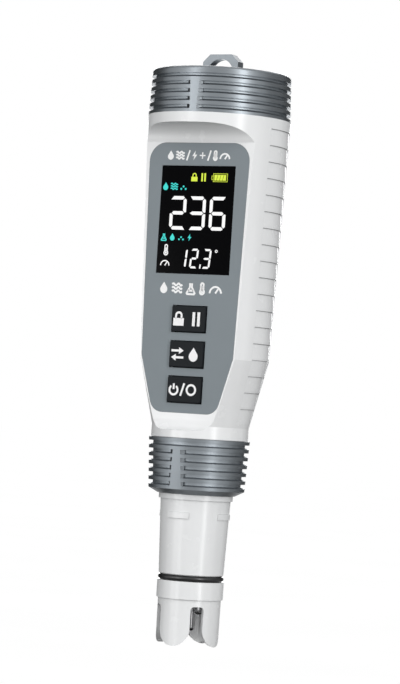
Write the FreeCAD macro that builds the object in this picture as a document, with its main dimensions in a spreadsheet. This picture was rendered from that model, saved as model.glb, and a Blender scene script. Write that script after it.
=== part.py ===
import FreeCAD, Part
import math
import os
import re

import Sketcher

# TDS meter pen, in millimetres.
# The pen stands on its tip: z = 0 is the end of the electrode guard, +Z is the lanyard lug,
# -Y is the front with the display and keys, +X is the reader's right.

os.makedirs("parts", exist_ok=True)
doc = FreeCAD.newDocument("tds_meter_pen")

SIZES = {
    # housing: a tapered barrel, a waist, a cone and a neck
    "case_top_radius": 20.0,
    "case_waist_radius": 18.0,
    "neck_radius": 13.55,
    "case_top_height": 146.8,
    "waist_height": 79.75,
    "neck_top_height": 61.0,
    "neck_length": 3.55,
    "case_wall": 2.0,
    "weld": 0.4,
    "cavity_floor_drop": 1.0,
    "cavity_roof_drop": 2.3,
    "cavity_shoulder_drop": 4.5,
    # gaps: a sliding fit, a drop-in fit and two pieces that touch
    "fit_gap": 0.1,
    "hair_gap": 0.05,
    "touch_gap": 0.02,
    # flat front and the scoop above it
    "face_depth": 10.0,
    "face_wall": 2.4,
    "face_top_drop": 7.3,
    "scoop_radius": 12.3,
    "scoop_lip": 0.5,
    "scoop_rise": 4.5,
    "face_foot_drop": 1.5,
    "face_foot_radius": 3.2,
    # saw-tooth grip steps on both flanks
    "grip_pitch": 4.56,
    "grip_top_drop": 2.9,
    "grip_foot_rise": 0.7,
    "grip_step": 0.32,
    "grip_ramp": 4.0,
    "grip_centre_angle": 8.75,
    "grip_span_angle": 46.5,
    # threaded spigots at both ends of the housing
    "cap_spigot_step": 3.5,
    "cap_spigot_wall": 1.6,
    "cap_spigot_room": 1.1,
    "nut_spigot_step": 2.55,
    "nut_spigot_wall": 1.6,
    "nut_spigot_length": 9.95,
    "socket_ledge_thickness": 1.9,
    "socket_ledge_lip": 1.4,
    "thread_room": 0.3,
    # front plate, window and keys
    "panel_thickness": 1.2,
    "panel_top_drop": 0.3,
    "panel_top_margin": 1.11,
    "panel_waist_rise": 0.15,
    "panel_waist_margin": 0.47,
    "panel_foot_rise": 3.3,
    "panel_foot_margin": 0.22,
    "panel_top_corner": 5.2,
    "panel_waist_corner": 4.0,
    "panel_foot_corner": 4.0,
    "window_width": 23.2,
    "window_top_margin": 6.4,
    "window_corner": 0.6,
    "window_ledge": 0.7,
    "window_recess": 0.05,
    "sign_band": 8.9,
    "key_width": 10.7,
    "key_height": 7.2,
    "key_corner": 0.5,
    "key_edge": 0.25,
    "key_proud": 0.6,
    "key_spacing": 2.575,
    "key_foot_margin": 2.85,
    "key_gap": 0.2,
    "key_flange_lip": 0.9,
    "key_flange_thickness": 0.85,
    "key_travel": 0.5,
    "key_stem_radius": 1.5,
    # display stack and board
    "lcd_side": 0.4,
    "lcd_end": 1.0,
    "lcd_thickness": 1.8,
    "backlight_thickness": 2.0,
    "lcd_frame_wall": 0.8,
    "board_side": 1.0,
    "board_foot_gap": 2.55,
    "board_thickness": 1.6,
    "board_edge": 2.0,
    "board_step_drop": 5.75,
    "board_taper": 4.0,
    "board_foot_rise": 1.2,
    "board_grid": 0.5,
    "switch_width": 6.0,
    "switch_thickness": 1.6,
    "plunger_radius": 1.55,
    "plunger_length": 1.35,
    "plunger_room": 0.25,
    "boss_radius": 1.6,
    "screw_radius": 0.8,
    "screw_head_radius": 1.55,
    "screw_head_height": 0.9,
    "screw_length": 4.6,
    "screw_inset": 1.2,
    "screw_clear": 3.2,
    "screw_clear_low": 3.6,
    "screw_foot_rise": 4.6,
    "screw_foot_shift": 0.9,
    # battery sled
    "cell_length": 43.3,
    "cell_tip_radius": 1.9,
    "cell_tip_length": 1.2,
    "cell_gap": 0.35,
    "cell_rim": 0.46,
    "sled_board_gap": 2.3,
    "sled_rise": 5.3,
    "sled_room": 0.3,
    "sled_plate": 1.1,
    "sled_end": 1.6,
    "sled_rib": 0.3,
    "sled_rib_depth": 2.2,
    "contact_thickness": 0.4,
    "contact_width": 6.4,
    "spring_length": 3.4,
    "spring_radius": 2.6,
    "spring_wire": 0.3,
    "spring_pitch": 1.0,
    # ribbed screw cap with its lug
    "cap_height": 12.8,
    "cap_rim_step": 0.05,
    "cap_draft": 0.5,
    "cap_roof": 2.2,
    "cap_top_ring": 2.0,
    "cap_foot_ring": 0.8,
    "cap_edge_radius": 0.9,
    "rib_pitch": 2.2,
    "cap_groove_width": 1.15,
    "cap_groove_depth": 1.15,
    "cap_groove_slope": 0.6,
    "cap_land_angle": 7.0,
    "land_width": 1.8,
    "land_root_width": 4.4,
    "land_root": 1.0,
    "lug_side": 1.5,
    "lug_top_inset": 2.2,
    "lug_height": 5.4,
    "lug_shoulder_drop": 2.1,
    "lug_thickness": 3.0,
    "lug_opening_radius": 4.1,
    "lug_root": 0.6,
    "gasket_width": 1.1,
    "gasket_height": 1.0,
    "gasket_room": 0.12,
    "pad_inset": 2.1,
    # ribbed collar nut
    "nut_gap": 0.1,
    "nut_step": 0.55,
    "nut_draft": 0.7,
    "nut_length": 14.05,
    "nut_lip_drop": 1.35,
    "nut_lip_land": 0.35,
    "nut_lip_room": 0.15,
    "nut_lip_thickness": 1.65,
    "nut_rib": 0.98,
    "nut_foot_ring": 0.8,
    "nut_rib_pitch": 2.19,
    "nut_groove_depth": 1.2,
    "nut_groove_slope": 0.4,
    "nut_land_angle": 3.0,
    # removable probe
    "probe_flange_room": 0.2,
    "probe_ring_radius": 10.35,
    "probe_ring_drop": 1.45,
    "stem_step": 0.55,
    "stem_draft": 0.75,
    "stem_wall": 1.35,
    "stem_foot_height": 19.6,
    "stem_edge": 0.25,
    "bump_drop": 5.2,
    "bump_height": 1.6,
    "bump_proud": 0.35,
    "bump_root": 0.5,
    "bump_angle": 39.0,
    "seal_ring_radius": 0.75,
    "seal_ring_proud": 0.1,
    "seal_slot": 1.7,
    "collar_step": 0.25,
    "collar_length": 4.9,
    "guard_step": 0.5,
    "guard_draft": 0.1,
    "guard_wall": 2.0,
    "guard_neck_length": 8.1,
    "guard_neck_wall": 1.6,
    "slot_width": 3.76,
    "slot_roof_drop": 1.9,
    "well_floor_drop": 1.5,
    "insulator_rise": 4.0,
    "pin_radius": 1.0,
    "pin_end_height": 3.7,
    "pin_offset": 2.8,
    "pin_shift": -0.5,
    "pin_seat": 4.0,
    "sensor_radius": 1.5,
    "sensor_end_height": 8.6,
    "sensor_offset": 3.1,
    "sensor_seat": 8.0,
    "plug_rise": 4.4,
    "plug_spigot_drop": 6.6,
    "plug_pin_radius": 0.5,
    "plug_pin_offset": 2.8,
    "plug_pin_length": 5.5,
    "socket_depth": 4.6,
    "socket_hole_radius": 0.7,
    "socket_hole_room": 0.5,
    "header_pin_radius": 0.4,
    "header_pin_pitch": 3.0,
    "header_pin_length": 7.9,
    "face_seal_height": 0.8,
}

# Sizes worked out from the ones above: each piece hangs on the one that carries it.
DERIVED = {
    "barrel_slope": "(case_top_radius - case_waist_radius)/(case_top_height - waist_height)",
    "cone_slope": "(case_waist_radius - neck_radius)/(waist_height - neck_top_height)",
    "neck_end_height": "neck_top_height - neck_length",
    "cavity_floor_height": "neck_top_height - cavity_floor_drop",
    "cavity_roof_height": "case_top_height - cavity_roof_drop",
    "face_top_height": "case_top_height - face_top_drop",
    "scoop_reach": "case_top_radius - face_depth - scoop_lip",
    "face_foot_height": "neck_top_height - face_foot_drop",
    "grip_top_height": "case_top_height - grip_top_drop",
    "grip_count": "floor((grip_top_height - neck_top_height - grip_foot_rise)/grip_pitch)",
    "cap_spigot_radius": "case_top_radius - cap_spigot_step",
    "cap_spigot_bore": "cap_spigot_radius - cap_spigot_wall",
    "cap_spigot_length": "cap_height - cap_roof - cap_spigot_room",
    "nut_spigot_radius": "neck_radius - nut_spigot_step",
    "nut_spigot_bore": "nut_spigot_radius - nut_spigot_wall",
    "nut_spigot_end_height": "neck_end_height - nut_spigot_length",
    "socket_ledge_height": "cavity_floor_height - socket_ledge_thickness",
    "socket_ledge_bore": "nut_spigot_bore - socket_ledge_lip",
    "panel_top_height": "face_top_height - panel_top_drop",
    "panel_waist_height": "waist_height + panel_waist_rise",
    "panel_foot_height": "neck_top_height + panel_foot_rise",
    "panel_top_reach": "case_waist_radius + (panel_top_height - waist_height)*barrel_slope",
    "panel_waist_reach": "case_waist_radius + (panel_waist_height - waist_height)*barrel_slope",
    "panel_foot_reach": "case_waist_radius + (panel_foot_height - waist_height)*cone_slope",
    "panel_top_width": "2*(sqrt(panel_top_reach^2 - face_depth^2) - panel_top_margin)",
    "panel_waist_width": "2*(sqrt(panel_waist_reach^2 - face_depth^2) - panel_waist_margin)",
    "panel_foot_width": "2*(sqrt(panel_foot_reach^2 - face_depth^2) - panel_foot_margin)",
    "key_pitch": "key_height + key_spacing",
    "key_top_height": "panel_foot_height + key_foot_margin + key_height/2 + 2*key_pitch",
    "window_top_height": "panel_top_height - window_top_margin",
    "window_height": "window_top_height - key_top_height - key_height/2 - sign_band",
    "window_centre_height": "window_top_height - window_height/2",
    "lcd_width": "window_width + 2*lcd_side",
    "lcd_height": "window_height + 2*lcd_end",
    "board_width": "lcd_width + 2*board_side",
    "board_foot_width": "2*(neck_radius - case_wall - board_foot_gap)",
    "board_top_height": "window_centre_height + lcd_height/2 + screw_clear + board_edge",
    "board_step_height": "waist_height - board_step_drop",
    "board_foot_height": "cavity_floor_height + board_foot_rise",
    "sled_radius": "cap_spigot_bore - sled_room",
    "board_front_depth": "face_depth - face_wall - 3*fit_gap - lcd_thickness - backlight_thickness",
    "board_back_depth": "board_front_depth - board_thickness",
    "sled_front": "sled_board_gap - board_back_depth",
    "cell_seat": "sled_front + sled_plate + fit_gap + hair_gap",
    "cell_reach": "sled_radius - cell_rim",
    "cell_room": "cell_reach + cell_seat + cell_gap",
    "cell_radius": "sqrt(cell_room^2 + cell_reach^2 - cell_seat^2 - cell_gap^2) - cell_room",
    "cell_offset": "cell_radius + cell_gap",
    "cell_depth": "cell_seat + cell_radius",
    "sled_top_height": "case_top_height + sled_rise",
    "cell_stack": "cell_length + cell_tip_length",
    "cell_foot_height": "sled_top_height - sled_end - contact_thickness - cell_stack",
    "cap_top_height": "case_top_height + cap_height",
    "cap_foot_radius": "case_top_radius - cap_rim_step",
    "cap_top_radius": "cap_foot_radius - cap_draft",
    "cap_ribbed_height": "cap_height - cap_top_ring - cap_foot_ring - cap_groove_width",
    "cap_rib_count": "floor(cap_ribbed_height/rib_pitch) + 1",
    "lug_half_width": "lug_opening_radius + lug_side",
    "lug_top_half_width": "lug_half_width - lug_top_inset",
    "lug_top_height": "cap_top_height + lug_height",
    "pad_radius": "sled_radius - pad_inset",
    "nut_top_height": "neck_end_height - nut_gap",
    "nut_top_radius": "neck_radius + nut_step",
    "nut_foot_radius": "nut_top_radius - nut_draft",
    "nut_foot_height": "nut_top_height - nut_length",
    "nut_lip_height": "nut_foot_height - nut_lip_drop",
    "nut_lip_bore": "probe_ring_radius + nut_lip_room",
    "nut_lip_radius": "nut_lip_bore + nut_lip_land",
    "nut_rib_count": "floor((nut_length - nut_foot_ring)/nut_rib_pitch)",
    "nut_seat_height": "nut_lip_height + nut_lip_thickness + hair_gap",
    "probe_flange_radius": "nut_spigot_radius + thread_room - probe_flange_room",
    "probe_flange_top": "nut_spigot_end_height - face_seal_height - 2*hair_gap",
    "probe_ring_height": "nut_lip_height - probe_ring_drop",
    "stem_top_radius": "probe_ring_radius - stem_step",
    "stem_foot_radius": "stem_top_radius - stem_draft",
    "stem_bore": "stem_foot_radius - stem_wall",
    "bump_foot_height": "probe_ring_height - bump_drop",
    "seal_ring_outer": "stem_foot_radius + seal_ring_proud",
    "collar_radius": "stem_foot_radius + collar_step",
    "collar_top_height": "stem_foot_height - seal_slot",
    "collar_foot_height": "collar_top_height - collar_length",
    "guard_radius": "collar_radius - guard_step",
    "guard_neck_radius": "stem_bore - fit_gap",
    "guard_neck_top": "collar_top_height + guard_neck_length",
    "guard_neck_bore": "guard_neck_radius - guard_neck_wall",
    "petal_half_width": "(sqrt(2*guard_radius^2 - slot_width^2/2) - slot_width/sqrt(2))/2",
    "slot_top_height": "collar_foot_height - slot_roof_drop",
    "well_floor_height": "collar_foot_height - well_floor_drop",
    "insulator_top": "guard_neck_top + insulator_rise",
    "plug_top_height": "probe_flange_top + plug_rise",
    "plug_spigot_foot": "probe_flange_top - plug_spigot_drop",
    "plug_pin_top": "plug_top_height + plug_pin_length",
    "socket_foot_height": "socket_ledge_height - socket_depth",
    "socket_hole_top": "plug_pin_top + socket_hole_room",
    "header_pin_top": "socket_ledge_height + header_pin_length",
}

sheet = doc.addObject("Spreadsheet::Sheet", "Sizes")
cells = list(SIZES.items()) + [(alias, "=" + rule) for alias, rule in DERIVED.items()]
for row, (alias, _) in enumerate(cells, start=1):
    sheet.set("A%d" % row, alias)
    sheet.setAlias("B%d" % row, alias)
for row, (alias, content) in enumerate(cells, start=1):
    sheet.set("B%d" % row, str(content))
doc.recompute()

ALIAS = re.compile(r"\b(%s)\b" % "|".join(alias for alias, _ in cells))
UP = FreeCAD.Vector(0, 0, 1)
subparts = []


def bound(text):
    """An expression in the sheet's aliases, as the document writes it."""
    return ALIAS.sub(r"Sizes.\1", str(text))


def value(text):
    """The number that an expression in the sheet's aliases stands for."""
    return float(sheet.evalExpression(bound(text)))


def bind(feature, **sizes):
    """Ties properties of a feature to expressions; base_x stands for Placement.Base.x."""
    for name, text in sizes.items():
        path = name.replace("base_", "Placement.Base.")
        feature.setExpression(path, bound(text))


def named(feature, label):
    """Gives a finished sub-part the name of its file."""
    feature.Label = label
    subparts.append(feature)
    return feature


def origin_plane(body, role):
    return next(item for item in body.Origin.OriginFeatures if item.Role == role)


def new_body(name):
    return doc.addObject("PartDesign::Body", name)


def sketch_on(body, name, role, offset="0", turn=0.0, about=FreeCAD.Vector(0, 1, 0)):
    """A sketch on an origin plane, moved along the normal and turned about one of its own axes."""
    sketch = body.newObject("Sketcher::SketchObject", name)
    sketch.AttachmentSupport = [(origin_plane(body, role), "")]
    sketch.MapMode = "FlatFace"
    sketch.AttachmentOffset = FreeCAD.Placement(
        FreeCAD.Vector(0, 0, value(offset)), FreeCAD.Rotation(about, turn))
    sketch.setExpression("AttachmentOffset.Base.z", bound(offset))
    return sketch


def arc_between(start, end, radius):
    """The short arc from start to end; a positive radius bulges to the right of the way there."""
    chord = end - start
    half = chord.Length / 2
    right = FreeCAD.Vector(chord.y, -chord.x, 0).normalize()
    sagitta = abs(radius) - math.sqrt(max(radius ** 2 - half ** 2, 0.0))
    middle = (start + end) / 2 + right * math.copysign(sagitta, radius)
    return Part.Arc(start, middle, end)


def outline(sketch, corners):
    """Adds a closed outline; a corner is (x, y), or (x, y, radius) where an arc leads on from it."""
    points = [FreeCAD.Vector(value(corner[0]), value(corner[1]), 0) for corner in corners]
    edges = []
    rules = []
    for index, corner in enumerate(corners):
        start = points[index]
        end = points[(index + 1) % len(points)]
        if len(corner) == 3:
            radius = value(corner[2])
            geometry = sketch.addGeometry(arc_between(start, end, radius), False)
            forward = sketch.getPoint(geometry, 1).distanceToPoint(start) < 1e-6
            edges.append((geometry, 1 if forward else 2, 2 if forward else 1))
            if abs(abs(radius) - (end - start).Length / 2) < 1e-9:
                sketch.addConstraint(Sketcher.Constraint("Symmetric", geometry, 1, geometry, 2, geometry, 3))
            else:
                rules.append((Sketcher.Constraint("Radius", geometry, abs(radius)), "abs(%s)" % corner[2]))
        else:
            geometry = sketch.addGeometry(Part.LineSegment(start, end), False)
            edges.append((geometry, 1, 2))
    for index, corner in enumerate(corners):
        geometry, first, _ = edges[index]
        before, _, last = edges[index - 1]
        sketch.addConstraint(Sketcher.Constraint("Coincident", before, last, geometry, first))
        rules.append((Sketcher.Constraint("DistanceX", -1, 1, geometry, first, points[index].x), corner[0]))
        rules.append((Sketcher.Constraint("DistanceY", -1, 1, geometry, first, points[index].y), corner[1]))
    for constraint, text in rules:
        number = sketch.addConstraint(constraint)
        sketch.setExpression("Constraints[%d]" % number, bound(text))
    return sketch


def turned(body, name, corners):
    """A solid of revolution about Z from an outline in the XZ plane."""
    sketch = outline(sketch_on(body, name + "_sketch", "XZ_Plane"), corners)
    feature = body.newObject("PartDesign::Revolution", name)
    feature.Profile = sketch
    feature.ReferenceAxis = (sketch, ["V_Axis"])
    feature.Angle = 360
    doc.recompute()
    return feature


def grooved(body, name, outlines, span=None, turn=0.0):
    """Cuts outlines in the XZ plane round Z, all the way or over a span centred on the plane."""
    sketch = sketch_on(body, name + "_sketch", "XZ_Plane", "0", turn)
    for corners in outlines:
        outline(sketch, corners)
    before = body.Shape.Volume
    feature = body.newObject("PartDesign::Groove", name)
    feature.Profile = sketch
    feature.ReferenceAxis = (sketch, ["V_Axis"])
    if span is None:
        feature.Angle = 360
    else:
        feature.Midplane = True
        feature.setExpression("Angle", bound(span))
    doc.recompute()
    if not body.Shape.Volume < before:
        raise RuntimeError("groove %s removes nothing" % name)
    return feature


def plate(name, corners, near, far, fillets=()):
    """A plate parallel to the front, from depth near to depth far before the axis."""
    body = new_body(name)
    sketch = outline(sketch_on(body, name + "_sketch", "XZ_Plane", near), corners)
    pad = body.newObject("PartDesign::Pad", name + "_pad")
    pad.Profile = sketch
    pad.setExpression("Length", bound("(%s) - (%s)" % (far, near)))
    doc.recompute()
    for count, (places, radius) in enumerate(fillets):
        round_edges(body, "%s_round_%d" % (name, count), places, radius, FreeCAD.Vector(0, 1, 0))
    return body


def edges_of(body):
    """The edges of a body's last feature, with the names that a fillet takes."""
    return [("Edge%d" % number, edge) for number, edge in enumerate(body.Tip.Shape.Edges, start=1)]


def edge_depth(edge, depth):
    """True for an edge that lies wholly at a depth before the axis."""
    return all(abs(vertex.Point.y + value(depth)) < 1e-4 for vertex in edge.Vertexes)


def fillet(body, name, edge_names, radius):
    base = body.Tip
    feature = body.newObject("PartDesign::Fillet", name)
    feature.Base = (base, edge_names)
    feature.setExpression("Radius", bound(radius))
    doc.recompute()
    return feature


def round_edges(body, name, places, radius, along):
    """Fillets the straight edges that run along a direction and pass through the given (x, z)."""
    names = []
    for edge_name, edge in edges_of(body):
        if edge.Curve.TypeId != "Part::GeomLine":
            continue
        ends = [vertex.Point for vertex in edge.Vertexes]
        way = (ends[1] - ends[0]).normalize()
        if way.cross(along).Length > 1e-3:
            continue
        for x_text, z_text in places:
            if abs(ends[0].x - value(x_text)) < 0.01 and abs(ends[0].z - value(z_text)) < 0.01:
                names.append(edge_name)
    return fillet(body, name, names, radius)


def rectangle(width, height, centre_z, centre_x="0"):
    """Corners of an upright rectangle."""
    left = "(%s) - (%s)/2" % (centre_x, width)
    right = "(%s) + (%s)/2" % (centre_x, width)
    low = "(%s) - (%s)/2" % (centre_z, height)
    high = "(%s) + (%s)/2" % (centre_z, height)
    return [(left, low), (right, low), (right, high), (left, high)]


def block(name, low, size):
    """A box from its low corner and its size, all expressions."""
    box = doc.addObject("Part::Box", name)
    bind(box, Length=size[0], Width=size[1], Height=size[2])
    bind(box, base_x=low[0], base_y=low[1], base_z=low[2])
    return box


def rod(name, centre, radius, length, toward=UP):
    """A cylinder from the centre of its first face."""
    cylinder = doc.addObject("Part::Cylinder", name)
    cylinder.Placement.Rotation = FreeCAD.Rotation(UP, toward)
    bind(cylinder, Radius=radius, Height=length)
    bind(cylinder, base_x=centre[0], base_y=centre[1], base_z=centre[2])
    return cylinder


def joined(name, *pieces):
    fusion = doc.addObject("Part::MultiFuse", name)
    fusion.Shapes = list(pieces)
    fusion.Refine = True
    return fusion


def grouped(name, *pieces):
    """Separate solids kept together in one sub-part."""
    compound = doc.addObject("Part::Compound", name)
    compound.Links = list(pieces)
    return compound


def removed(name, base, *tools):
    """The base less all the tools."""
    cut = doc.addObject("Part::Cut", name)
    cut.Base = base
    cut.Tool = tools[0] if len(tools) == 1 else joined(name + "_tools", *tools)
    return cut


def common(name, first, second):
    both = doc.addObject("Part::Common", name)
    both.Base = first
    both.Tool = second
    return both


BACK = FreeCAD.Vector(0, 1, 0)
FRONT = FreeCAD.Vector(0, -1, 0)
PANEL_BACK = "face_depth - panel_thickness"
INNER_FACE = "face_depth - face_wall"
LCD_FRONT = "face_depth - face_wall - fit_gap"
BOARD_FRONT = "board_front_depth"
BOARD_BACK = "board_back_depth"
KEYS = {"hold": 0, "mode": 1, "power": 2}


def barrel_radius(height):
    """Radius of the housing above the waist, as an expression."""
    return "case_waist_radius + ((%s) - waist_height)*barrel_slope" % height


def cone_radius(height):
    """Radius of the housing between the neck and the waist, as an expression."""
    return "case_waist_radius + ((%s) - waist_height)*cone_slope" % height


def grip_outlines():
    """One saw-tooth per step: a ledge into the wall, then a ramp back out below it."""
    teeth = []
    for step in range(int(value("grip_count"))):
        top = "grip_top_height - grip_pitch*%d" % step
        foot = "%s - grip_ramp" % top
        radius_at = barrel_radius if value(foot) > value("waist_height") else cone_radius
        teeth.append([
            ("%s - grip_step" % radius_at(top), top),
            ("%s + grip_step" % radius_at(top), top),
            ("%s + grip_step" % radius_at(foot), foot),
            (radius_at(foot), foot)])
    return teeth


def panel_corners(grow):
    """Outline of the front plate, wider at the top and drawn in to the foot."""
    levels = [
        ("panel_foot_width", "panel_foot_height - (%s)" % grow),
        ("panel_waist_width", "panel_waist_height"),
        ("panel_top_width", "panel_top_height + (%s)" % grow)]
    right = [("(%s)/2 + (%s)" % (width, grow), height) for width, height in levels]
    left = [("-(%s)/2 - (%s)" % (width, grow), height) for width, height in reversed(levels)]
    return right + left


def panel_fillets(corners):
    return [
        ([corners[0], corners[5]], "panel_foot_corner"),
        ([corners[1], corners[4]], "panel_waist_corner"),
        ([corners[2], corners[3]], "panel_top_corner")]


def key_height_at(number):
    return "key_top_height - key_pitch*%d" % number


def housing():
    """The moulded barrel with its flat front, hollow, with both spigots."""
    outer = new_body("case_outer")
    turned(outer, "case_turned", [
        ("0", "nut_spigot_end_height"),
        ("nut_spigot_radius", "nut_spigot_end_height"),
        ("nut_spigot_radius", "neck_end_height"),
        ("neck_radius", "neck_end_height"),
        ("neck_radius", "neck_top_height"),
        ("case_waist_radius", "waist_height"),
        ("case_top_radius", "case_top_height"),
        ("cap_spigot_radius", "case_top_height"),
        ("cap_spigot_radius", "case_top_height + cap_spigot_length"),
        ("0", "case_top_height + cap_spigot_length")])
    face = outline(sketch_on(outer, "face_sketch", "YZ_Plane"), [
        ("-face_depth", "face_foot_height + face_foot_radius"),
        ("-face_depth", "face_top_height", "scoop_radius"),
        ("-face_depth - scoop_reach", "face_top_height + scoop_rise"),
        ("-2*case_top_radius", "face_top_height + scoop_rise"),
        ("-2*case_top_radius", "face_foot_height"),
        ("-face_depth - face_foot_radius", "face_foot_height", "face_foot_radius")])
    before = outer.Shape.Volume
    cut = outer.newObject("PartDesign::Pocket", "face_cut")
    cut.Profile = face
    cut.SideType = "Symmetric"
    cut.setExpression("Length", bound("4*case_top_radius"))
    doc.recompute()
    if not outer.Shape.Volume < before:
        raise RuntimeError("the face cut removes nothing")
    for side, turn in (("right", 1), ("left", -1)):
        teeth = grip_outlines()
        if side == "left":
            teeth = [[("-(%s)" % x, z) for x, z in tooth] for tooth in teeth]
        grooved(outer, "grips_" + side, teeth, "grip_span_angle", turn * value("grip_centre_angle"))

    cavity = new_body("case_cavity")
    turned(cavity, "cavity_turned", [
        ("0", "cavity_floor_height"),
        ("neck_radius - case_wall", "cavity_floor_height"),
        ("neck_radius - case_wall", "neck_top_height"),
        ("case_waist_radius - case_wall", "waist_height"),
        ("%s - case_wall" % barrel_radius("cavity_roof_height - cavity_shoulder_drop"),
         "cavity_roof_height - cavity_shoulder_drop"),
        ("cap_spigot_bore", "cavity_roof_height"),
        ("cap_spigot_bore", "case_top_height"),
        ("0", "case_top_height")])
    limit = outline(sketch_on(cavity, "cavity_limit", "YZ_Plane"), [
        ("-(%s)" % INNER_FACE, "0"),
        ("-(%s)" % INNER_FACE, "2*case_top_height"),
        ("-2*case_top_radius", "2*case_top_height"),
        ("-2*case_top_radius", "0")])
    flat = cavity.newObject("PartDesign::Pocket", "cavity_flat")
    flat.Profile = limit
    flat.SideType = "Symmetric"
    flat.setExpression("Length", bound("4*case_top_radius"))
    doc.recompute()

    corners = panel_corners("hair_gap")
    recess = plate("panel_recess", corners, PANEL_BACK, "face_depth + 1", panel_fillets(corners))
    tools = [
        cavity, recess,
        rod("cap_bore", ("0", "0", "case_top_height - 0.5"), "cap_spigot_bore", "cap_spigot_length + 1"),
        rod("nut_bore", ("0", "0", "nut_spigot_end_height - 1"), "nut_spigot_bore",
            "socket_ledge_height - nut_spigot_end_height + 1"),
        rod("ledge_bore", ("0", "0", "socket_ledge_height - 1"), "socket_ledge_bore",
            "cavity_floor_height - socket_ledge_height + 2"),
        plate("window_opening",
              rectangle("window_width - 2*window_ledge", "window_height - 2*window_ledge",
                        "window_centre_height"), "(%s) - 1" % INNER_FACE, "face_depth")]
    for key, number in KEYS.items():
        tools.append(plate(key + "_opening", rectangle(
            "key_width + 3*key_gap", "key_height + 3*key_gap", key_height_at(number)),
            "(%s) - 1" % INNER_FACE, "face_depth"))
    hollow = removed("case_hollow", outer, *tools)
    bosses = []
    holes = []
    for number, (x, z) in enumerate(screw_places()):
        bosses.append(rod("boss_%d" % number, (x, "-(%s) - fit_gap" % BOARD_FRONT, z), "boss_radius",
                          "(%s) - (%s) - fit_gap + weld" % (INNER_FACE, BOARD_FRONT), FRONT))
        holes.append(rod("boss_hole_%d" % number, (x, "-(%s)" % BOARD_FRONT, z),
                         "screw_radius + hair_gap", "screw_length - board_thickness + 3*fit_gap", FRONT))
    named(removed("case_body", joined("case_bossed", hollow, *bosses), *holes), "case_shell")


def screw_places():
    """The six screws that hold the board to the housing, as (x, z) expressions."""
    rows = [
        ("board_width/2 - boss_radius - screw_inset", "window_centre_height + lcd_height/2 + screw_clear"),
        ("board_width/2 - boss_radius - screw_inset",
         "window_centre_height - lcd_height/2 - screw_clear_low"),
        ("board_foot_width/2 - boss_radius + screw_foot_shift", "board_foot_height + screw_foot_rise")]
    return [(sign + "(%s)" % x, z) for x, z in rows for sign in ("", "-")]


def front_plate():
    corners = panel_corners("0")
    blank = plate("panel_blank", corners, PANEL_BACK, "face_depth", panel_fillets(corners))
    opening = rectangle("window_width + 2*hair_gap", "window_height + 2*hair_gap", "window_centre_height")
    holes = [plate("panel_window", opening, "(%s) - 1" % PANEL_BACK, "face_depth + 1")]
    for key, number in KEYS.items():
        holes.append(plate(key + "_panel_hole", rectangle(
            "key_width + 2*key_gap", "key_height + 2*key_gap", key_height_at(number)),
            "(%s) - 1" % PANEL_BACK, "face_depth + 1"))
    named(removed("panel", blank, *holes), "face_panel")
    window = rectangle("window_width", "window_height", "window_centre_height")
    named(plate("window", window, PANEL_BACK, "face_depth - window_recess",
                [(window, "window_corner")]), "display_window")


def display_stack():
    """Display cell, its light and the frame that holds both on the board."""
    centre = "window_centre_height"
    named(plate("lcd", rectangle("lcd_width - 2*fit_gap", "lcd_height - 2*fit_gap", centre),
                "(%s) - lcd_thickness" % LCD_FRONT, LCD_FRONT), "lcd_glass")
    light_front = "(%s) - lcd_thickness - fit_gap" % LCD_FRONT
    named(plate("light", rectangle("lcd_width - 2*fit_gap", "lcd_height - 2*fit_gap", centre),
                "(%s) - backlight_thickness" % light_front, light_front), "lcd_backlight")
    outer = plate("frame_outer", rectangle("lcd_width + 2*lcd_frame_wall", "lcd_height + 2*lcd_frame_wall",
                                           centre), "(%s) + hair_gap" % BOARD_FRONT, LCD_FRONT)
    inner = plate("frame_inner", rectangle("lcd_width", "lcd_height", centre),
                  "(%s) - 1" % BOARD_FRONT, "face_depth")
    named(removed("frame", outer, inner), "lcd_frame")


def board():
    blank = plate("board_blank", [
        ("board_foot_width/2", "board_foot_height"),
        ("board_foot_width/2", "board_step_height"),
        ("board_width/2", "board_step_height + board_taper"),
        ("board_width/2", "board_top_height"),
        ("-board_width/2", "board_top_height"),
        ("-board_width/2", "board_step_height + board_taper"),
        ("-board_foot_width/2", "board_step_height"),
        ("-board_foot_width/2", "board_foot_height")], BOARD_BACK, BOARD_FRONT)
    holes = []
    screws = []
    for number, (x, z) in enumerate(screw_places()):
        holes.append(rod("board_hole_%d" % number, (x, "-(%s) + 1" % BOARD_BACK, z),
                         "screw_radius + fit_gap", "board_thickness + 2", FRONT))
        head = rod("screw_head_%d" % number, (x, "-(%s) + screw_head_height + touch_gap" % BOARD_BACK, z),
                   "screw_head_radius", "screw_head_height", FRONT)
        shank = rod("screw_shank_%d" % number, (x, "-(%s) + 0.1" % BOARD_BACK, z),
                    "screw_radius", "screw_length", FRONT)
        screws.append(joined("screw_%d" % number, head, shank))
    named(removed("board", blank, *holes), "main_board")
    named(grouped("screws", *screws), "board_screws")

    # low left corner above the step and width, depth and height, all in steps of the board's grid
    chips = {
        "processor": ((-7, 24), (14, 3, 14)),
        "amplifier": ((-17, 1), (8, 2.5, 10)),
        "memory": ((9, 2), (8, 2.5, 10)),
        "regulator": ((12, 28), (6, 2, 6)),
        "crystal": ((-12, 41), (4, 2, 10)),
        "capacitor": ((4, 44), (4, 2.5, 6))}
    parts = []
    for name, (corner, size) in chips.items():
        low = ("%s*board_grid" % corner[0], "-(%s) + touch_gap" % BOARD_BACK,
               "board_step_height + %s*board_grid" % corner[1])
        parts.append(block(name, low, ["%s*board_grid" % steps for steps in size]))
    named(grouped("components", *parts), "board_components")


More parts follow.
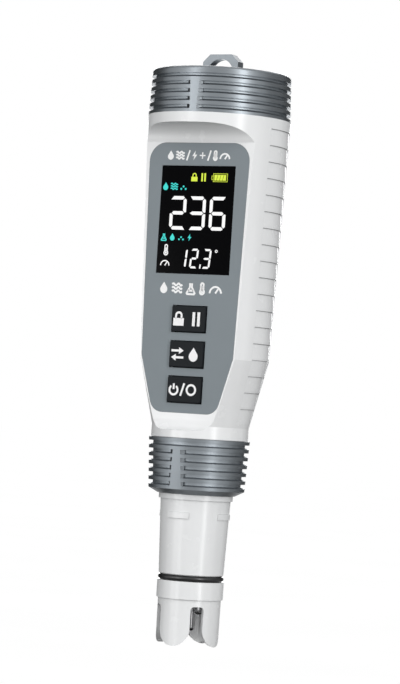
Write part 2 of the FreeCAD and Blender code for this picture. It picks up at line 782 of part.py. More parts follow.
def keys():
    """Each key: a cap through plate and housing, a flange behind, and a stem on its switch."""
    switches = []
    for key, number in KEYS.items():
        height = key_height_at(number)
        cap = plate(key + "_cap", rectangle("key_width", "key_height", height),
                    "(%s) - fit_gap - key_flange_thickness/2" % INNER_FACE, "face_depth + key_proud",
                    [(rectangle("key_width", "key_height", height), "key_corner")])
        top = [edge_name for edge_name, edge in edges_of(cap) if edge_depth(edge, "face_depth + key_proud")]
        fillet(cap, key + "_soft_edge", top, "key_edge")
        flange = plate(key + "_flange", rectangle(
            "key_width + 2*key_flange_lip", "key_height + 2*key_flange_lip", height),
            "(%s) - 1.5*fit_gap - key_flange_thickness" % INNER_FACE, "(%s) - 1.5*fit_gap" % INNER_FACE)
        switch_front = "(%s) + switch_thickness" % BOARD_FRONT
        plunger_front = "(%s) + key_travel + plunger_room" % switch_front
        flange_back = "(%s) - 1.5*fit_gap - key_flange_thickness" % INNER_FACE
        stem = rod(key + "_stem", ("0", "-(%s) - weld/2" % flange_back, height), "key_stem_radius",
                   "(%s) - (%s) + weld/2 - hair_gap" % (flange_back, plunger_front), BACK)
        named(joined(key + "_key_body", cap, flange, stem), key + "_key")
        named(rod(key + "_plunger_body", ("0", "-(%s)" % plunger_front, height), "plunger_radius",
                  "plunger_length", BACK), key + "_plunger")
        switch = plate(key + "_switch_box", rectangle("switch_width", "switch_width", height),
                       "(%s) + touch_gap" % BOARD_FRONT, switch_front)
        well = rod(key + "_switch_well", ("0", "-(%s) - 1" % switch_front, height),
                   "plunger_radius + fit_gap", "switch_thickness + 1 - 4*fit_gap", BACK)
        switches.append(removed(key + "_switch", switch, well))
    named(grouped("switches", *switches), "tact_switches")


def battery_tray():
    """Sled with two cells side by side, springs at one end of each and strips at both ends."""
    foot = "cell_foot_height - spring_length - contact_thickness - sled_end"
    top = "sled_top_height - sled_end"
    height = "sled_top_height - (%s)" % foot
    depth = "cell_radius*2 + sled_plate + 5*fit_gap"
    raw = joined(
        "sled_raw",
        block("sled_back", ("-sled_radius", "sled_front", foot), ("2*sled_radius", "sled_plate", height)),
        block("sled_foot", ("-sled_radius", "sled_front", foot), ("2*sled_radius", depth, "sled_end")),
        block("sled_head", ("-sled_radius", "sled_front", top), ("2*sled_radius", depth, "sled_end")),
        block("sled_middle", ("-sled_rib/2", "sled_front", foot),
              ("sled_rib", "sled_plate + sled_rib_depth", height)))
    trim = rod("sled_trim", ("0", "0", foot), "sled_radius", height)
    named(common("sled", raw, trim), "battery_sled")

    cells = []
    springs = []
    strips = []
    for side, x in (("left", "-cell_offset"), ("right", "cell_offset")):
        upright = side == "left"
        can_foot = "cell_foot_height" if upright else "cell_foot_height + cell_tip_length"
        can = rod("can_" + side, (x, "cell_depth", can_foot), "cell_radius", "cell_length")
        tip_foot = "cell_foot_height + cell_length - fit_gap" if upright else "cell_foot_height"
        tip = rod("tip_" + side, (x, "cell_depth", tip_foot), "cell_tip_radius",
                  "cell_tip_length + fit_gap")
        cells.append(joined("cell_" + side, can, tip))
    for side, x in (("left", "-cell_offset"), ("right", "cell_offset")):
        spring_z = "cell_foot_height - spring_length + spring_wire + hair_gap"
        springs.append(coil("spring_" + side, x, spring_z))
        strips.append(block("foot_strip_" + side, (
            "%s - contact_width/2" % x, "cell_depth - contact_width/2",
            "cell_foot_height - spring_length - contact_thickness + touch_gap"),
            ("contact_width", "contact_width", "contact_thickness - 2*touch_gap")))
    strips.append(block("head_strip", (
        "-cell_offset - contact_width/2", "cell_depth - contact_width/2",
        "cell_foot_height + cell_stack + touch_gap"),
        ("2*cell_offset + contact_width", "contact_width", "contact_thickness - 2*touch_gap")))
    named(grouped("cells", *cells), "battery_cells")
    named(grouped("springs", *springs), "battery_springs")
    named(grouped("strips", *strips), "battery_contacts")


def coil(name, x, foot):
    """A round-wire compression spring under one cell."""
    helix = doc.addObject("Part::Helix", name + "_path")
    helix.setExpression("Pitch", bound("spring_pitch"))
    helix.setExpression("Radius", bound("spring_radius"))
    helix.setExpression("Height", bound("spring_length - 2*spring_wire - 2*hair_gap"))
    ring = doc.addObject("Part::RegularPolygon", name + "_wire")
    ring.Polygon = 4
    ring.Placement.Rotation = FreeCAD.Rotation(UP, BACK)
    bind(ring, Circumradius="spring_wire", base_x="spring_radius")
    sweep = doc.addObject("Part::Sweep", name)
    sweep.Sections = [ring]
    sweep.Spine = (helix, ["Edge1"])
    sweep.Solid = True
    sweep.Frenet = True
    bind(sweep, base_x=x, base_y="cell_depth", base_z=foot)
    return sweep


def groove_rings(top, count, pitch, width, slope, rim, root):
    """Grooves stacked down from a height, square above and sloped below, as outlines for a turned cut."""
    rings = []
    for number in range(int(value(count))):
        high = "(%s) - (%s)*%d" % (top, pitch, number)
        low = "%s - (%s)" % (high, width)
        rings.append([
            (root("%s + (%s)" % (low, slope)), "%s + (%s)" % (low, slope)),
            (rim(low), low),
            ("(%s) + 2" % rim(low), low),
            ("(%s) + 2" % rim(low), high),
            (root(high), high)])
    return rings


def mould_lands(name, blank, low, high, radius_out, depth, angle):
    """Smooth lands at the front and back, where the two halves of the mould part."""
    lands = []
    for side, way in (("front", "-1"), ("back", "1")):
        body = new_body("%s_land_%s" % (name, side))
        buried = "%s*(%s - (%s) - land_root)" % (way, radius_out, depth)
        root = "%s*(%s - (%s))" % (way, radius_out, depth)
        rim = "%s*(%s)" % (way, radius_out)
        proud = "%s*(%s + land_root)" % (way, radius_out)
        half = [
            ("land_width/2", proud),
            ("land_width/2", rim),
            ("land_root_width/2", root),
            ("land_root_width/2", buried)]
        mirrored = [("-(%s)" % x, y) for x, y in reversed(half)]
        sketch = outline(sketch_on(body, body.Name + "_sketch", "XY_Plane", low, value(angle), UP),
                         half + mirrored)
        pad = body.newObject("PartDesign::Pad", body.Name + "_pad")
        pad.Profile = sketch
        pad.setExpression("Length", bound("(%s) - (%s)" % (high, low)))
        doc.recompute()
        lands.append(body)
    return common(name + "_lands", joined(name + "_land_pair", *lands), blank)


def screw_cap():
    """Ribbed battery cap, open below, with the lanyard lug moulded on its roof."""
    bore = "cap_spigot_radius + thread_room"
    seat = "cap_spigot_radius + gasket_width + 2*gasket_room"

    def blank_corners():
        return [
            (seat, "case_top_height"),
            ("cap_foot_radius", "case_top_height"),
            ("cap_top_radius", "cap_top_height - cap_edge_radius", "cap_edge_radius"),
            ("cap_top_radius - cap_edge_radius", "cap_top_height"),
            ("0", "cap_top_height"),
            ("0", "cap_top_height - cap_roof"),
            (bore, "cap_top_height - cap_roof"),
            (bore, "case_top_height + gasket_height + fit_gap"),
            (seat, "case_top_height + gasket_height + fit_gap")]

    def rim(height):
        return "cap_top_radius + (cap_top_height - (%s))*cap_draft/cap_height" % height

    def root(height):
        return "%s - cap_groove_depth" % rim(height)

    blank = new_body("cap_blank")
    turned(blank, "cap_blank_turned", blank_corners())
    ribbed = new_body("cap_ribbed")
    turned(ribbed, "cap_turned", blank_corners())
    grooved(ribbed, "cap_grooves", groove_rings(
        "cap_top_height - cap_top_ring", "cap_rib_count", "rib_pitch", "cap_groove_width",
        "cap_groove_slope", rim, root))
    lands = mould_lands("cap", blank, "case_top_height",
                        "cap_top_height - cap_top_ring - cap_groove_width",
                        "cap_foot_radius", "cap_groove_depth", "cap_land_angle")
    lug_foot = "cap_top_height - lug_root"
    shoulder = "lug_top_height - lug_shoulder_drop"
    lug = plate("lug", [
        ("-lug_half_width", lug_foot),
        ("-lug_opening_radius", lug_foot),
        ("-lug_opening_radius", "cap_top_height", "-lug_opening_radius"),
        ("lug_opening_radius", "cap_top_height"),
        ("lug_opening_radius", lug_foot),
        ("lug_half_width", lug_foot),
        ("lug_half_width", shoulder),
        ("lug_top_half_width", "lug_top_height"),
        ("-lug_top_half_width", "lug_top_height"),
        ("-lug_half_width", shoulder)], "-lug_thickness/2", "lug_thickness/2")
    named(joined("cap", ribbed, lands, lug), "battery_cap")

    gasket = new_body("gasket")
    inner = "cap_spigot_radius + gasket_room"
    turned(gasket, "gasket_turned", [
        (inner, "case_top_height + touch_gap"),
        ("%s + gasket_width" % inner, "case_top_height + touch_gap"),
        ("%s + gasket_width" % inner, "case_top_height + gasket_height"),
        (inner, "case_top_height + gasket_height")])
    named(gasket, "cap_gasket")
    named(rod("pad", ("0", "0", "sled_top_height + fit_gap"), "pad_radius",
              "cap_top_height - cap_roof - sled_top_height - fit_gap - hair_gap"), "cap_pad")


def collar():
    """Ribbed nut that clamps the probe's flange against the housing."""
    bore = "nut_spigot_radius + thread_room"

    def blank_corners():
        return [
            ("nut_lip_bore", "nut_lip_height"),
            ("nut_lip_radius", "nut_lip_height"),
            ("nut_foot_radius", "nut_foot_height"),
            ("nut_top_radius", "nut_top_height"),
            (bore, "nut_top_height"),
            (bore, "nut_lip_height + nut_lip_thickness"),
            ("nut_lip_bore", "nut_lip_height + nut_lip_thickness")]

    def rim(height):
        return "nut_top_radius - (nut_top_height - (%s))*nut_draft/nut_length" % height

    def root(height):
        return "%s - nut_groove_depth" % rim(height)

    blank = new_body("nut_blank")
    turned(blank, "nut_blank_turned", blank_corners())
    ribbed = new_body("nut_ribbed")
    turned(ribbed, "nut_turned", blank_corners())
    grooved(ribbed, "nut_grooves", groove_rings(
        "nut_top_height - nut_rib", "nut_rib_count", "nut_rib_pitch", "nut_rib_pitch - nut_rib",
        "nut_groove_slope", rim, root))
    lands = mould_lands("nut", blank, "nut_foot_height", "nut_top_height - nut_rib_pitch",
                        "nut_top_radius", "nut_groove_depth", "nut_land_angle")
    named(joined("nut", ribbed, lands), "collar_nut")


def probe():
    """The removable probe: barrel, seals, slotted tip and what it senses with."""
    stem = new_body("stem")
    turned(stem, "stem_turned", [
        ("stem_bore", "stem_foot_height"),
        ("stem_foot_radius - stem_edge", "stem_foot_height"),
        ("stem_foot_radius", "stem_foot_height + stem_edge"),
        ("stem_top_radius", "probe_ring_height"),
        ("probe_ring_radius", "probe_ring_height"),
        ("probe_ring_radius", "nut_seat_height"),
        ("probe_flange_radius", "nut_seat_height"),
        ("probe_flange_radius", "probe_flange_top"),
        ("stem_bore", "probe_flange_top")])
    slope = "stem_draft/(probe_ring_height - stem_foot_height)"
    around = "stem_foot_radius + (bump_foot_height - stem_foot_height)*%s" % slope
    sketch = outline(sketch_on(stem, "bump_sketch", "XZ_Plane"), [
        ("%s - bump_root" % around, "bump_foot_height"),
        ("%s + bump_proud" % around, "bump_foot_height"),
        ("%s + bump_proud" % around, "bump_foot_height + bump_height"),
        ("%s - bump_root" % around, "bump_foot_height + bump_height")])
    bump = stem.newObject("PartDesign::Revolution", "bump")
    bump.Profile = sketch
    bump.ReferenceAxis = (sketch, ["V_Axis"])
    bump.Midplane = True
    bump.setExpression("Angle", bound("bump_angle"))
    doc.recompute()
    ring = stem.newObject("PartDesign::PolarPattern", "bump_ring")
    ring.Originals = [bump]
    ring.Axis = (sketch, ["V_Axis"])
    ring.Angle = 360
    ring.Occurrences = 4
    stem.Tip = ring
    doc.recompute()
    named(stem, "probe_stem")

    seal = doc.addObject("Part::Torus", "seal_ring")
    bind(seal, Radius1="seal_ring_outer - seal_ring_radius", Radius2="seal_ring_radius",
         base_z="(stem_foot_height + collar_top_height)/2")
    named(seal, "stem_o_ring")

    tube = new_body("tip_tube")
    turned(tube, "tip_turned", [
        ("guard_radius - guard_wall", "0"),
        ("guard_radius - guard_draft", "0"),
        ("guard_radius", "collar_foot_height"),
        ("collar_radius", "collar_foot_height"),
        ("collar_radius", "collar_top_height"),
        ("guard_neck_radius", "collar_top_height"),
        ("guard_neck_radius", "guard_neck_top"),
        ("guard_neck_bore", "guard_neck_top"),
        ("guard_neck_bore", "collar_foot_height"),
        ("guard_radius - guard_wall", "collar_foot_height")])
    tongue = [
        ("petal_half_width", "guard_neck_top + 1"),
        ("-petal_half_width", "guard_neck_top + 1"),
        ("-petal_half_width", "petal_half_width", "petal_half_width"),
        ("petal_half_width", "petal_half_width")]
    across = plate("petals_across", tongue, "-2*guard_radius", "2*guard_radius")
    along = new_body("petals_along")
    side = outline(sketch_on(along, "petals_along_sketch", "YZ_Plane"), tongue)
    pad = along.newObject("PartDesign::Pad", "petals_along_pad")
    pad.Profile = side
    pad.SideType = "Symmetric"
    pad.setExpression("Length", bound("4*guard_radius"))
    doc.recompute()
    whole = new_body("whole_ring")
    turned(whole, "whole_turned", [
        ("0", "slot_top_height"),
        ("guard_radius - guard_wall", "slot_top_height"),
        ("guard_radius", "collar_foot_height"),
        ("2*guard_radius", "collar_foot_height"),
        ("2*guard_radius", "guard_neck_top + 1"),
        ("0", "guard_neck_top + 1")])
    named(common("guard", tube, joined("petal_shape", across, along, whole)), "electrode_guard")

    neck_bore = "guard_neck_bore - fit_gap"
    core = joined(
        "insulator_core",
        rod("insulator_rod", ("0", "0", "well_floor_height"), neck_bore,
            "insulator_top - well_floor_height"),
        rod("insulator_foot", ("0", "0", "well_floor_height"), "guard_radius - guard_wall - fit_gap",
            "collar_foot_height - well_floor_height - hair_gap"))
    bores = []
    pins = []
    for side, y in (("front", "-pin_offset"), ("back", "pin_offset")):
        depth = "insulator_top - well_floor_height - pin_seat"
        bores.append(rod("pin_bore_" + side, ("pin_shift", y, "well_floor_height - 1"),
                         "pin_radius + hair_gap", "%s + 1 + fit_gap" % depth))
        shaft = rod("pin_shaft_" + side, ("pin_shift", y, "pin_end_height + pin_radius"), "pin_radius",
                    "well_floor_height - pin_end_height - pin_radius + %s" % depth)
        pins.append(joined("pin_" + side, shaft, ball("pin_tip_" + side, (
            "pin_shift", y, "pin_end_height + pin_radius"), "pin_radius")))
    sensor_depth = "insulator_top - well_floor_height - sensor_seat"
    bores.append(rod("sensor_bore", ("sensor_offset", "0", "well_floor_height - 1"),
                     "sensor_radius + hair_gap", "%s + 1 + fit_gap" % sensor_depth))
    named(removed("insulator", core, *bores), "electrode_insulator")
    named(grouped("pins", *pins), "electrode_pins")
    body = rod("sensor_body", ("sensor_offset", "0", "sensor_end_height + sensor_radius"),
               "sensor_radius",
               "well_floor_height - sensor_end_height - sensor_radius + %s" % sensor_depth)
    named(joined("sensor", body, ball("sensor_tip", (
        "sensor_offset", "0", "sensor_end_height + sensor_radius"), "sensor_radius")),
        "temperature_sensor")

    plug_foot = "probe_flange_top + hair_gap"
    named(joined(
        "plug",
        rod("plug_spigot", ("0", "0", "plug_spigot_foot"), "stem_bore - fit_gap",
            "%s - plug_spigot_foot + weld" % plug_foot),
        rod("plug_body", ("0", "0", plug_foot), "nut_spigot_bore - thread_room",
            "plug_top_height - (%s)" % plug_foot)), "probe_plug")
    prongs = []
    sockets = []
    for number, (x, y) in enumerate((("", ""), ("-", ""), ("", "-"), ("-", "-"))):
        place = (x + "plug_pin_offset", y + "plug_pin_offset")
        prongs.append(rod("prong_%d" % number, place + ("plug_top_height",), "plug_pin_radius",
                          "plug_pin_top - plug_top_height"))
        sockets.append(rod("socket_hole_%d" % number, place + ("socket_foot_height - 1",),
                           "socket_hole_radius", "socket_hole_top - socket_foot_height + 1"))
    named(grouped("prongs", *prongs), "plug_pins")
    named(removed("socket", rod("socket_disc", ("0", "0", "socket_foot_height"),
                                "nut_spigot_bore - fit_gap",
                                "socket_depth - fit_gap"), *sockets), "probe_socket")
    header = []
    for number in range(len(prongs)):
        x = "header_pin_pitch*(%d - %d/2)" % (number, len(prongs) - 1)
        header.append(rod("header_pin_%d" % number, (
            x, "-(%s) + header_pin_radius + touch_gap" % BOARD_BACK, "socket_ledge_height - fit_gap"),
            "header_pin_radius", "header_pin_top - socket_ledge_height + fit_gap"))
    named(grouped("header", *header), "header_pins")

    washer = new_body("washer")
    foot = "probe_flange_top + hair_gap"
    turned(washer, "washer_turned", [
        ("nut_spigot_bore - hair_gap", foot),
        ("nut_spigot_radius - hair_gap", foot),
        ("nut_spigot_radius - hair_gap", "%s + face_seal_height" % foot),
        ("nut_spigot_bore - hair_gap", "%s + face_seal_height" % foot)])
    named(washer, "probe_face_seal")


def ball(name, centre, radius):
    sphere = doc.addObject("Part::Sphere", name)
    bind(sphere, Radius=radius, base_x=centre[0], base_y=centre[1], base_z=centre[2])
    return sphere


housing()
front_plate()
display_stack()
board()
keys()
battery_tray()
screw_cap()
collar()
probe()
doc.recompute()

for item in doc.Objects:
    if "Invalid" in item.State or "Error" in item.State:
        raise RuntimeError("%s failed: %s" % (item.Name, item.State))
for item in subparts:
    if item.Shape.isNull() or not item.Shape.isValid():
        raise RuntimeError("%s has no valid shape" % item.Label)
    item.Shape.exportStep("parts/%s.step" % item.Label)
    print("%-22s solids %d volume %.2f" % (item.Label, len(item.Shape.Solids), item.Shape.Volume))
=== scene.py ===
import math

import bmesh
import bpy
from mathutils import Matrix, Vector


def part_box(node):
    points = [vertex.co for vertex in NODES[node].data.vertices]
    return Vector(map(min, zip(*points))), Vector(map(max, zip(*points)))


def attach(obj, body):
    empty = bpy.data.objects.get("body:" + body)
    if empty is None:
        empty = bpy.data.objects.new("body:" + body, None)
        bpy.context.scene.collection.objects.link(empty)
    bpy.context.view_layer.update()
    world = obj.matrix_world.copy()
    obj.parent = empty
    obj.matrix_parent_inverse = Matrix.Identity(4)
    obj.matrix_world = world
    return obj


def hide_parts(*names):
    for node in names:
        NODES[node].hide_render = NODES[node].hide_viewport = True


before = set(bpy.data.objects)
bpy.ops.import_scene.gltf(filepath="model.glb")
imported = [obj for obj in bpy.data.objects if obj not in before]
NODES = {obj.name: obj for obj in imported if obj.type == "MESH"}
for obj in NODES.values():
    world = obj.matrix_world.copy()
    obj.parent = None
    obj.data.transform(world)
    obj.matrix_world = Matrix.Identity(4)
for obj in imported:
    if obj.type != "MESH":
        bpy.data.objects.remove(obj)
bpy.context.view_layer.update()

# TDS meter pen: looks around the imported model. The front is -Y and up is +Z. Sizes are in metres, and
# where a comment says millimetres, x runs to the reader's right and z up from the tip.
MM = 0.001
scene = bpy.context.scene

WINDOW_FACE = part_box("display_window")[0].y
PLATE_LOW, PLATE_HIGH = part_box("face_panel")

# A print stands this far off its face, and reaches this far into it.
PRINT_PROUD = 0.02 * MM
PRINT_SUNK = 0.01 * MM

# Camera, solved from the photograph's outline. It looks at a point beside the axis, at a height.
CAMERA_AZIMUTH = 29.366
CAMERA_ELEVATION = -1.399
CAMERA_ROLL = 3.605
CAMERA_DISTANCE = 800 * MM
CAMERA_LENS = 150.76
CAMERA_SENSOR = 36.0
TARGET_SIDE = -1.554 * MM
TARGET_HEIGHT = 84.384 * MM

# The lug stands on the cap's rim. The scoop's shading starts to turn below its roof and is upright a
# little above the plate, and it ends under the flat's upper edge.
LUG_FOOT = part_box("battery_cap")[1].z - 5.4 * MM
SCOOP_ROOF = 147.0 * MM
SCOOP_UPRIGHT = PLATE_HIGH.z + 0.6 * MM
SCOOP_END = PLATE_HIGH.z - 1.0 * MM

# Texture scales: the slow drift of a colour, and the drift of a gloss.
COLOUR_DRIFT = 60
GLOSS_DRIFT = 220

# The world's light on the object, and the floor's height, width and shade.
FILL_STRENGTH = 0.52
FLOOR_HEIGHT = -0.25
FLOOR_RADIUS = 30
FLOOR_SHADE = 0.2
FLOOR_DRIFT = 0.01

# Soft boxes: azimuth from the camera's and elevation in degrees, distance, width, height and radiance.
LAMPS = (
    ("high_left", -46, 16, 0.9, 0.13, 1.0, 6.0),
    ("high_right", 34, 16, 0.9, 0.1, 1.0, 14.0),
    ("low_left", -64, -2, 0.8, 0.1, 0.2, 10.0),
    ("low_middle", 10, -2, 0.8, 0.08, 0.2, 1.5),
    ("low_right", 74, -2, 0.8, 0.1, 0.2, 2.0),
    ("high_back", 180, 18, 0.9, 0.5, 0.6, 5.0),
)

# Flags: placed and sized the same way, then the cloth's shade and whether only the gloss shows them.
FLAGS = (
    ("flag_left", -135, 0, 0.6, 0.7, 1.2, 0.02, False),
    ("flag_right", 140, 0, 0.8, 0.6, 1.2, 0.1, False),
    ("flag_side", 100, 0, 0.75, 0.7, 1.2, 0.5, True),
    ("flag_low", 0, -86, 0.27, 0.9, 0.9, 0.02, True),
)

# Screw threads: the ridge's height, how deep its root sits in the wall, and the spigots and bores.
THREAD_HEIGHT = 0.22 * MM
THREAD_ROOT = 0.05 * MM
THREAD_STEPS = 72
CAP_PITCH = 3.2 * MM
CAP_THREAD_WIDTH = 1.2 * MM
CAP_SPIGOT_RADIUS = 16.5 * MM
CAP_BORE_RADIUS = 16.8 * MM
COLLAR_PITCH = 2.6 * MM
COLLAR_THREAD_WIDTH = 1.0 * MM
COLLAR_SPIGOT_RADIUS = 11.0 * MM
COLLAR_BORE_RADIUS = 11.3 * MM

# The guard, in millimetres: radii of its walls and its neck, and the heights of its collar.
GUARD_OUTER = 8.8
GUARD_TAPER = 0.1
GUARD_INNER = 6.8
GUARD_NECK = 7.6
GUARD_NECK_BORE = 6.0
GUARD_COLLAR_FOOT = 13.0
GUARD_COLLAR_TOP = 17.9
GUARD_STEPS = 144

# Its slots, in millimetres: the petals' round ends are measured on a radius just inside the outer wall.
SLOT_WIDTH = 3.76
SLOT_ROOF = 11.1
SLOT_ROOF_CORNER = 1.0
PETAL_HALF_WIDTH = 4.75
PETAL_RADIUS = 8.75
PETAL_STEPS = 18


# Shader helpers

def new_material(name):
    """A material with its node tree and its main shader."""
    made = bpy.data.materials.new(name)
    made.use_nodes = True
    tree = made.node_tree
    return made, tree, tree.nodes["Principled BSDF"]


def feed(tree, socket, value):
    """Links another socket to this one, or sets its constant."""
    if isinstance(value, bpy.types.NodeSocket):
        tree.links.new(value, socket)
    else:
        socket.default_value = value


def maths(tree, operation, *values, kind="ShaderNodeMath", result="Value"):
    """The result of a maths node on sockets and numbers."""
    made = tree.nodes.new(kind)
    made.operation = operation
    for socket, value in zip(made.inputs, values):
        feed(tree, socket, value)
    return made.outputs[result]


def vector_maths(tree, operation, *values, result="Vector"):
    """The result of a vector maths node on sockets and vectors."""
    return maths(tree, operation, *values, kind="ShaderNodeVectorMath", result=result)


def height_of(tree, vector):
    """The z of a vector socket."""
    parts = tree.nodes.new("ShaderNodeSeparateXYZ")
    tree.links.new(vector, parts.inputs[0])
    return parts.outputs["Z"]


def mapped(tree, value, low, high, at_low, at_high):
    """A number that runs from at_low to at_high as a value runs from low to high."""
    ranged = tree.nodes.new("ShaderNodeMapRange")
    ends = {"From Min": low, "From Max": high, "To Min": at_low, "To Max": at_high}
    for socket, number in ends.items():
        ranged.inputs[socket].default_value = number
    tree.links.new(value, ranged.inputs["Value"])
    return ranged.outputs["Result"]


def noise(tree, scale, detail=2.0, stretch=(1, 1, 1)):
    """Noise in the object's own coordinates, drawn out along an axis where stretch says so."""
    place = tree.nodes.new("ShaderNodeTexCoord")
    mapping = tree.nodes.new("ShaderNodeMapping")
    mapping.inputs["Scale"].default_value = stretch
    texture = tree.nodes.new("ShaderNodeTexNoise")
    texture.inputs["Scale"].default_value = scale
    texture.inputs["Detail"].default_value = detail
    tree.links.new(place.outputs["Object"], mapping.inputs["Vector"])
    tree.links.new(mapping.outputs["Vector"], texture.inputs["Vector"])
    return texture.outputs["Fac"]


def spread(tree, value, low, high):
    """Maps a texture's middle range, where most of its values lie, onto low to high."""
    return mapped(tree, value, 0.3, 0.7, low, high)


def blended(tree, factor, first, second):
    """A colour between two, by a factor socket."""
    mix = tree.nodes.new("ShaderNodeMix")
    mix.data_type = "RGBA"
    tree.links.new(factor, mix.inputs["Factor"])
    mix.inputs["A"].default_value = (*first, 1)
    mix.inputs["B"].default_value = (*second, 1)
    return mix.outputs["Result"]


def bumped(tree, shader, value, height):
    """Lays a value on a shader as relief of a height."""
    bump = tree.nodes.new("ShaderNodeBump")
    bump.inputs["Distance"].default_value = height
    tree.links.new(value, bump.inputs["Height"])
    tree.links.new(bump.outputs["Normal"], shader.inputs["Normal"])


def scaled_by(tree, colour, factor):
    """A colour times a factor socket."""
    scaled = tree.nodes.new("ShaderNodeVectorMath")
    scaled.operation = "SCALE"
    tree.links.new(colour, scaled.inputs[0])
    tree.links.new(factor, scaled.inputs["Scale"])
    return scaled.outputs["Vector"]


def painted_hollow_shade_and_light(tree, colour, reach, factor):
    """Painted shade and light: a colour that changes to a factor of itself in a corner, where half of what is
    round it is near; a factor below one paints shade there, one above paints light.
    """
    hollow = tree.nodes.new("ShaderNodeAmbientOcclusion")
    hollow.samples = 8
    hollow.inputs["Distance"].default_value = reach
    return scaled_by(tree, colour, mapped(tree, hollow.outputs["AO"], 0.5, 0.9, factor, 1.0))


def painted_end_shade(tree, colour, factor, top):
    """Painted shade: a colour that darkens where a face below a height looks round the axis, which dims the
    highlights the lamps put on the grooves' ends.
    """
    place = tree.nodes.new("ShaderNodeTexCoord")
    around = vector_maths(tree, "CROSS_PRODUCT", place.outputs["Object"], (0, 0, 1))
    facing = vector_maths(tree, "DOT_PRODUCT", vector_maths(tree, "NORMALIZE", around),
                          place.outputs["Normal"], result="Value")
    below = maths(tree, "LESS_THAN", height_of(tree, place.outputs["Object"]), top)
    share = maths(tree, "MULTIPLY", maths(tree, "ABSOLUTE", facing), below)
    return scaled_by(tree, colour, mapped(tree, share, 0.12, 0.45, 1.0, factor))


def softened_scoop(material):
    """Turns the shading upright towards the scoop's foot, where the real one runs out in a curve."""
    tree = material.node_tree
    surface = tree.nodes.new("ShaderNodeNewGeometry")
    normal = surface.outputs["Normal"]
    height = height_of(tree, surface.outputs["Position"])
    tilt = mapped(tree, height_of(tree, normal), -1, 0, 1, 0)
    near_foot = mapped(tree, height, SCOOP_ROOF, SCOOP_UPRIGHT, 0, 1)
    above_end = maths(tree, "GREATER_THAN", height, SCOOP_END)
    lift = tree.nodes.new("ShaderNodeCombineXYZ")
    amount = maths(tree, "MULTIPLY", maths(tree, "MULTIPLY", tilt, near_foot), above_end)
    tree.links.new(amount, lift.inputs["Z"])
    turned = vector_maths(tree, "ADD", normal, lift.outputs["Vector"])
    bump = tree.nodes["Principled BSDF"].inputs["Normal"].links[0].from_node
    tree.links.new(vector_maths(tree, "NORMALIZE", turned), bump.inputs["Normal"])


def moulded(name, colour, roughness, tint=0.03, grain=2600, grain_height=0.0015 * MM, painted_corner_shade_and_light=None,
            ends=None, **sockets):
    """Moulded plastic or rubber: a slow drift of colour, an even gloss and a fine tool texture.

    The crease pair is the reach and the factor of the painted shade and light in corners, ends is the factor
    of the painted shade on faces that look round the axis below the lug's foot, and sockets are constants of
    the shader, with _ for a space.
    """
    made, tree, shader = new_material(name)
    light = [min(1.0, part * (1 + tint)) for part in colour]
    dark = [part * (1 - tint) for part in colour]
    shade = blended(tree, spread(tree, noise(tree, COLOUR_DRIFT, 3.0), 0, 1), dark, light)
    # Painted shade in corners where the factor is below one, painted light in the groove floors where it is
    # above one.
    if painted_corner_shade_and_light:
        shade = painted_hollow_shade_and_light(tree, shade, *painted_corner_shade_and_light)
    # Painted shade on faces that look round the axis, which dims the lamps' highlights on the grooves' ends.
    if ends:
        shade = painted_end_shade(tree, shade, ends, LUG_FOOT)
    tree.links.new(shade, shader.inputs["Base Color"])
    gloss = spread(tree, noise(tree, GLOSS_DRIFT, 4.0), roughness * 0.98, roughness * 1.02)
    tree.links.new(gloss, shader.inputs["Roughness"])
    bumped(tree, shader, noise(tree, grain, 3.0), grain_height)
    for socket, value in sockets.items():
        shader.inputs[socket.replace("_", " ")].default_value = value
    return made


def metal(name, colour, roughness, stretch=(1, 1, 1)):
    """Drawn or plated metal with fine marks along its length."""
    made, tree, shader = new_material(name)
    marks = noise(tree, 1800, 3.0, stretch)
    dark = [part * 0.88 for part in colour]
    tree.links.new(blended(tree, spread(tree, marks, 0, 1), dark, colour), shader.inputs["Base Color"])
    tree.links.new(spread(tree, marks, roughness * 0.8, roughness * 1.2), shader.inputs["Roughness"])
    shader.inputs["Metallic"].default_value = 1.0
    bumped(tree, shader, marks, 0.002 * MM)
    return made


def lit(name, colour):
    """A lit display segment: even light with the faint unevenness of the cell behind it."""
    made, tree, shader = new_material(name)
    shader.inputs["Base Color"].default_value = (0.01, 0.01, 0.01, 1)
    shader.inputs["Roughness"].default_value = 0.2
    shader.inputs["Specular IOR Level"].default_value = 0.2
    shader.inputs["Emission Strength"].default_value = 1.0
    dim = [part * 0.93 for part in colour]
    glow = blended(tree, spread(tree, noise(tree, 900, 1.0), 0, 1), dim, colour)
    tree.links.new(glow, shader.inputs["Emission Color"])
    return made


def circuit_board():
    """Solder mask over copper: tracks show as a lighter green net."""
    made, tree, shader = new_material("board_green")
    place = tree.nodes.new("ShaderNodeTexCoord")
    tracks = tree.nodes.new("ShaderNodeTexBrick")
    tracks.inputs["Scale"].default_value = 260
    tracks.inputs["Mortar Size"].default_value = 0.035
    tree.links.new(place.outputs["Object"], tracks.inputs["Vector"])
    mask = blended(tree, tracks.outputs["Fac"], (0.012, 0.13, 0.05), (0.03, 0.26, 0.1))
    tree.links.new(mask, shader.inputs["Base Color"])
    shader.inputs["Roughness"].default_value = 0.3
    bumped(tree, shader, tracks.outputs["Fac"], 0.02 * MM)
    return made


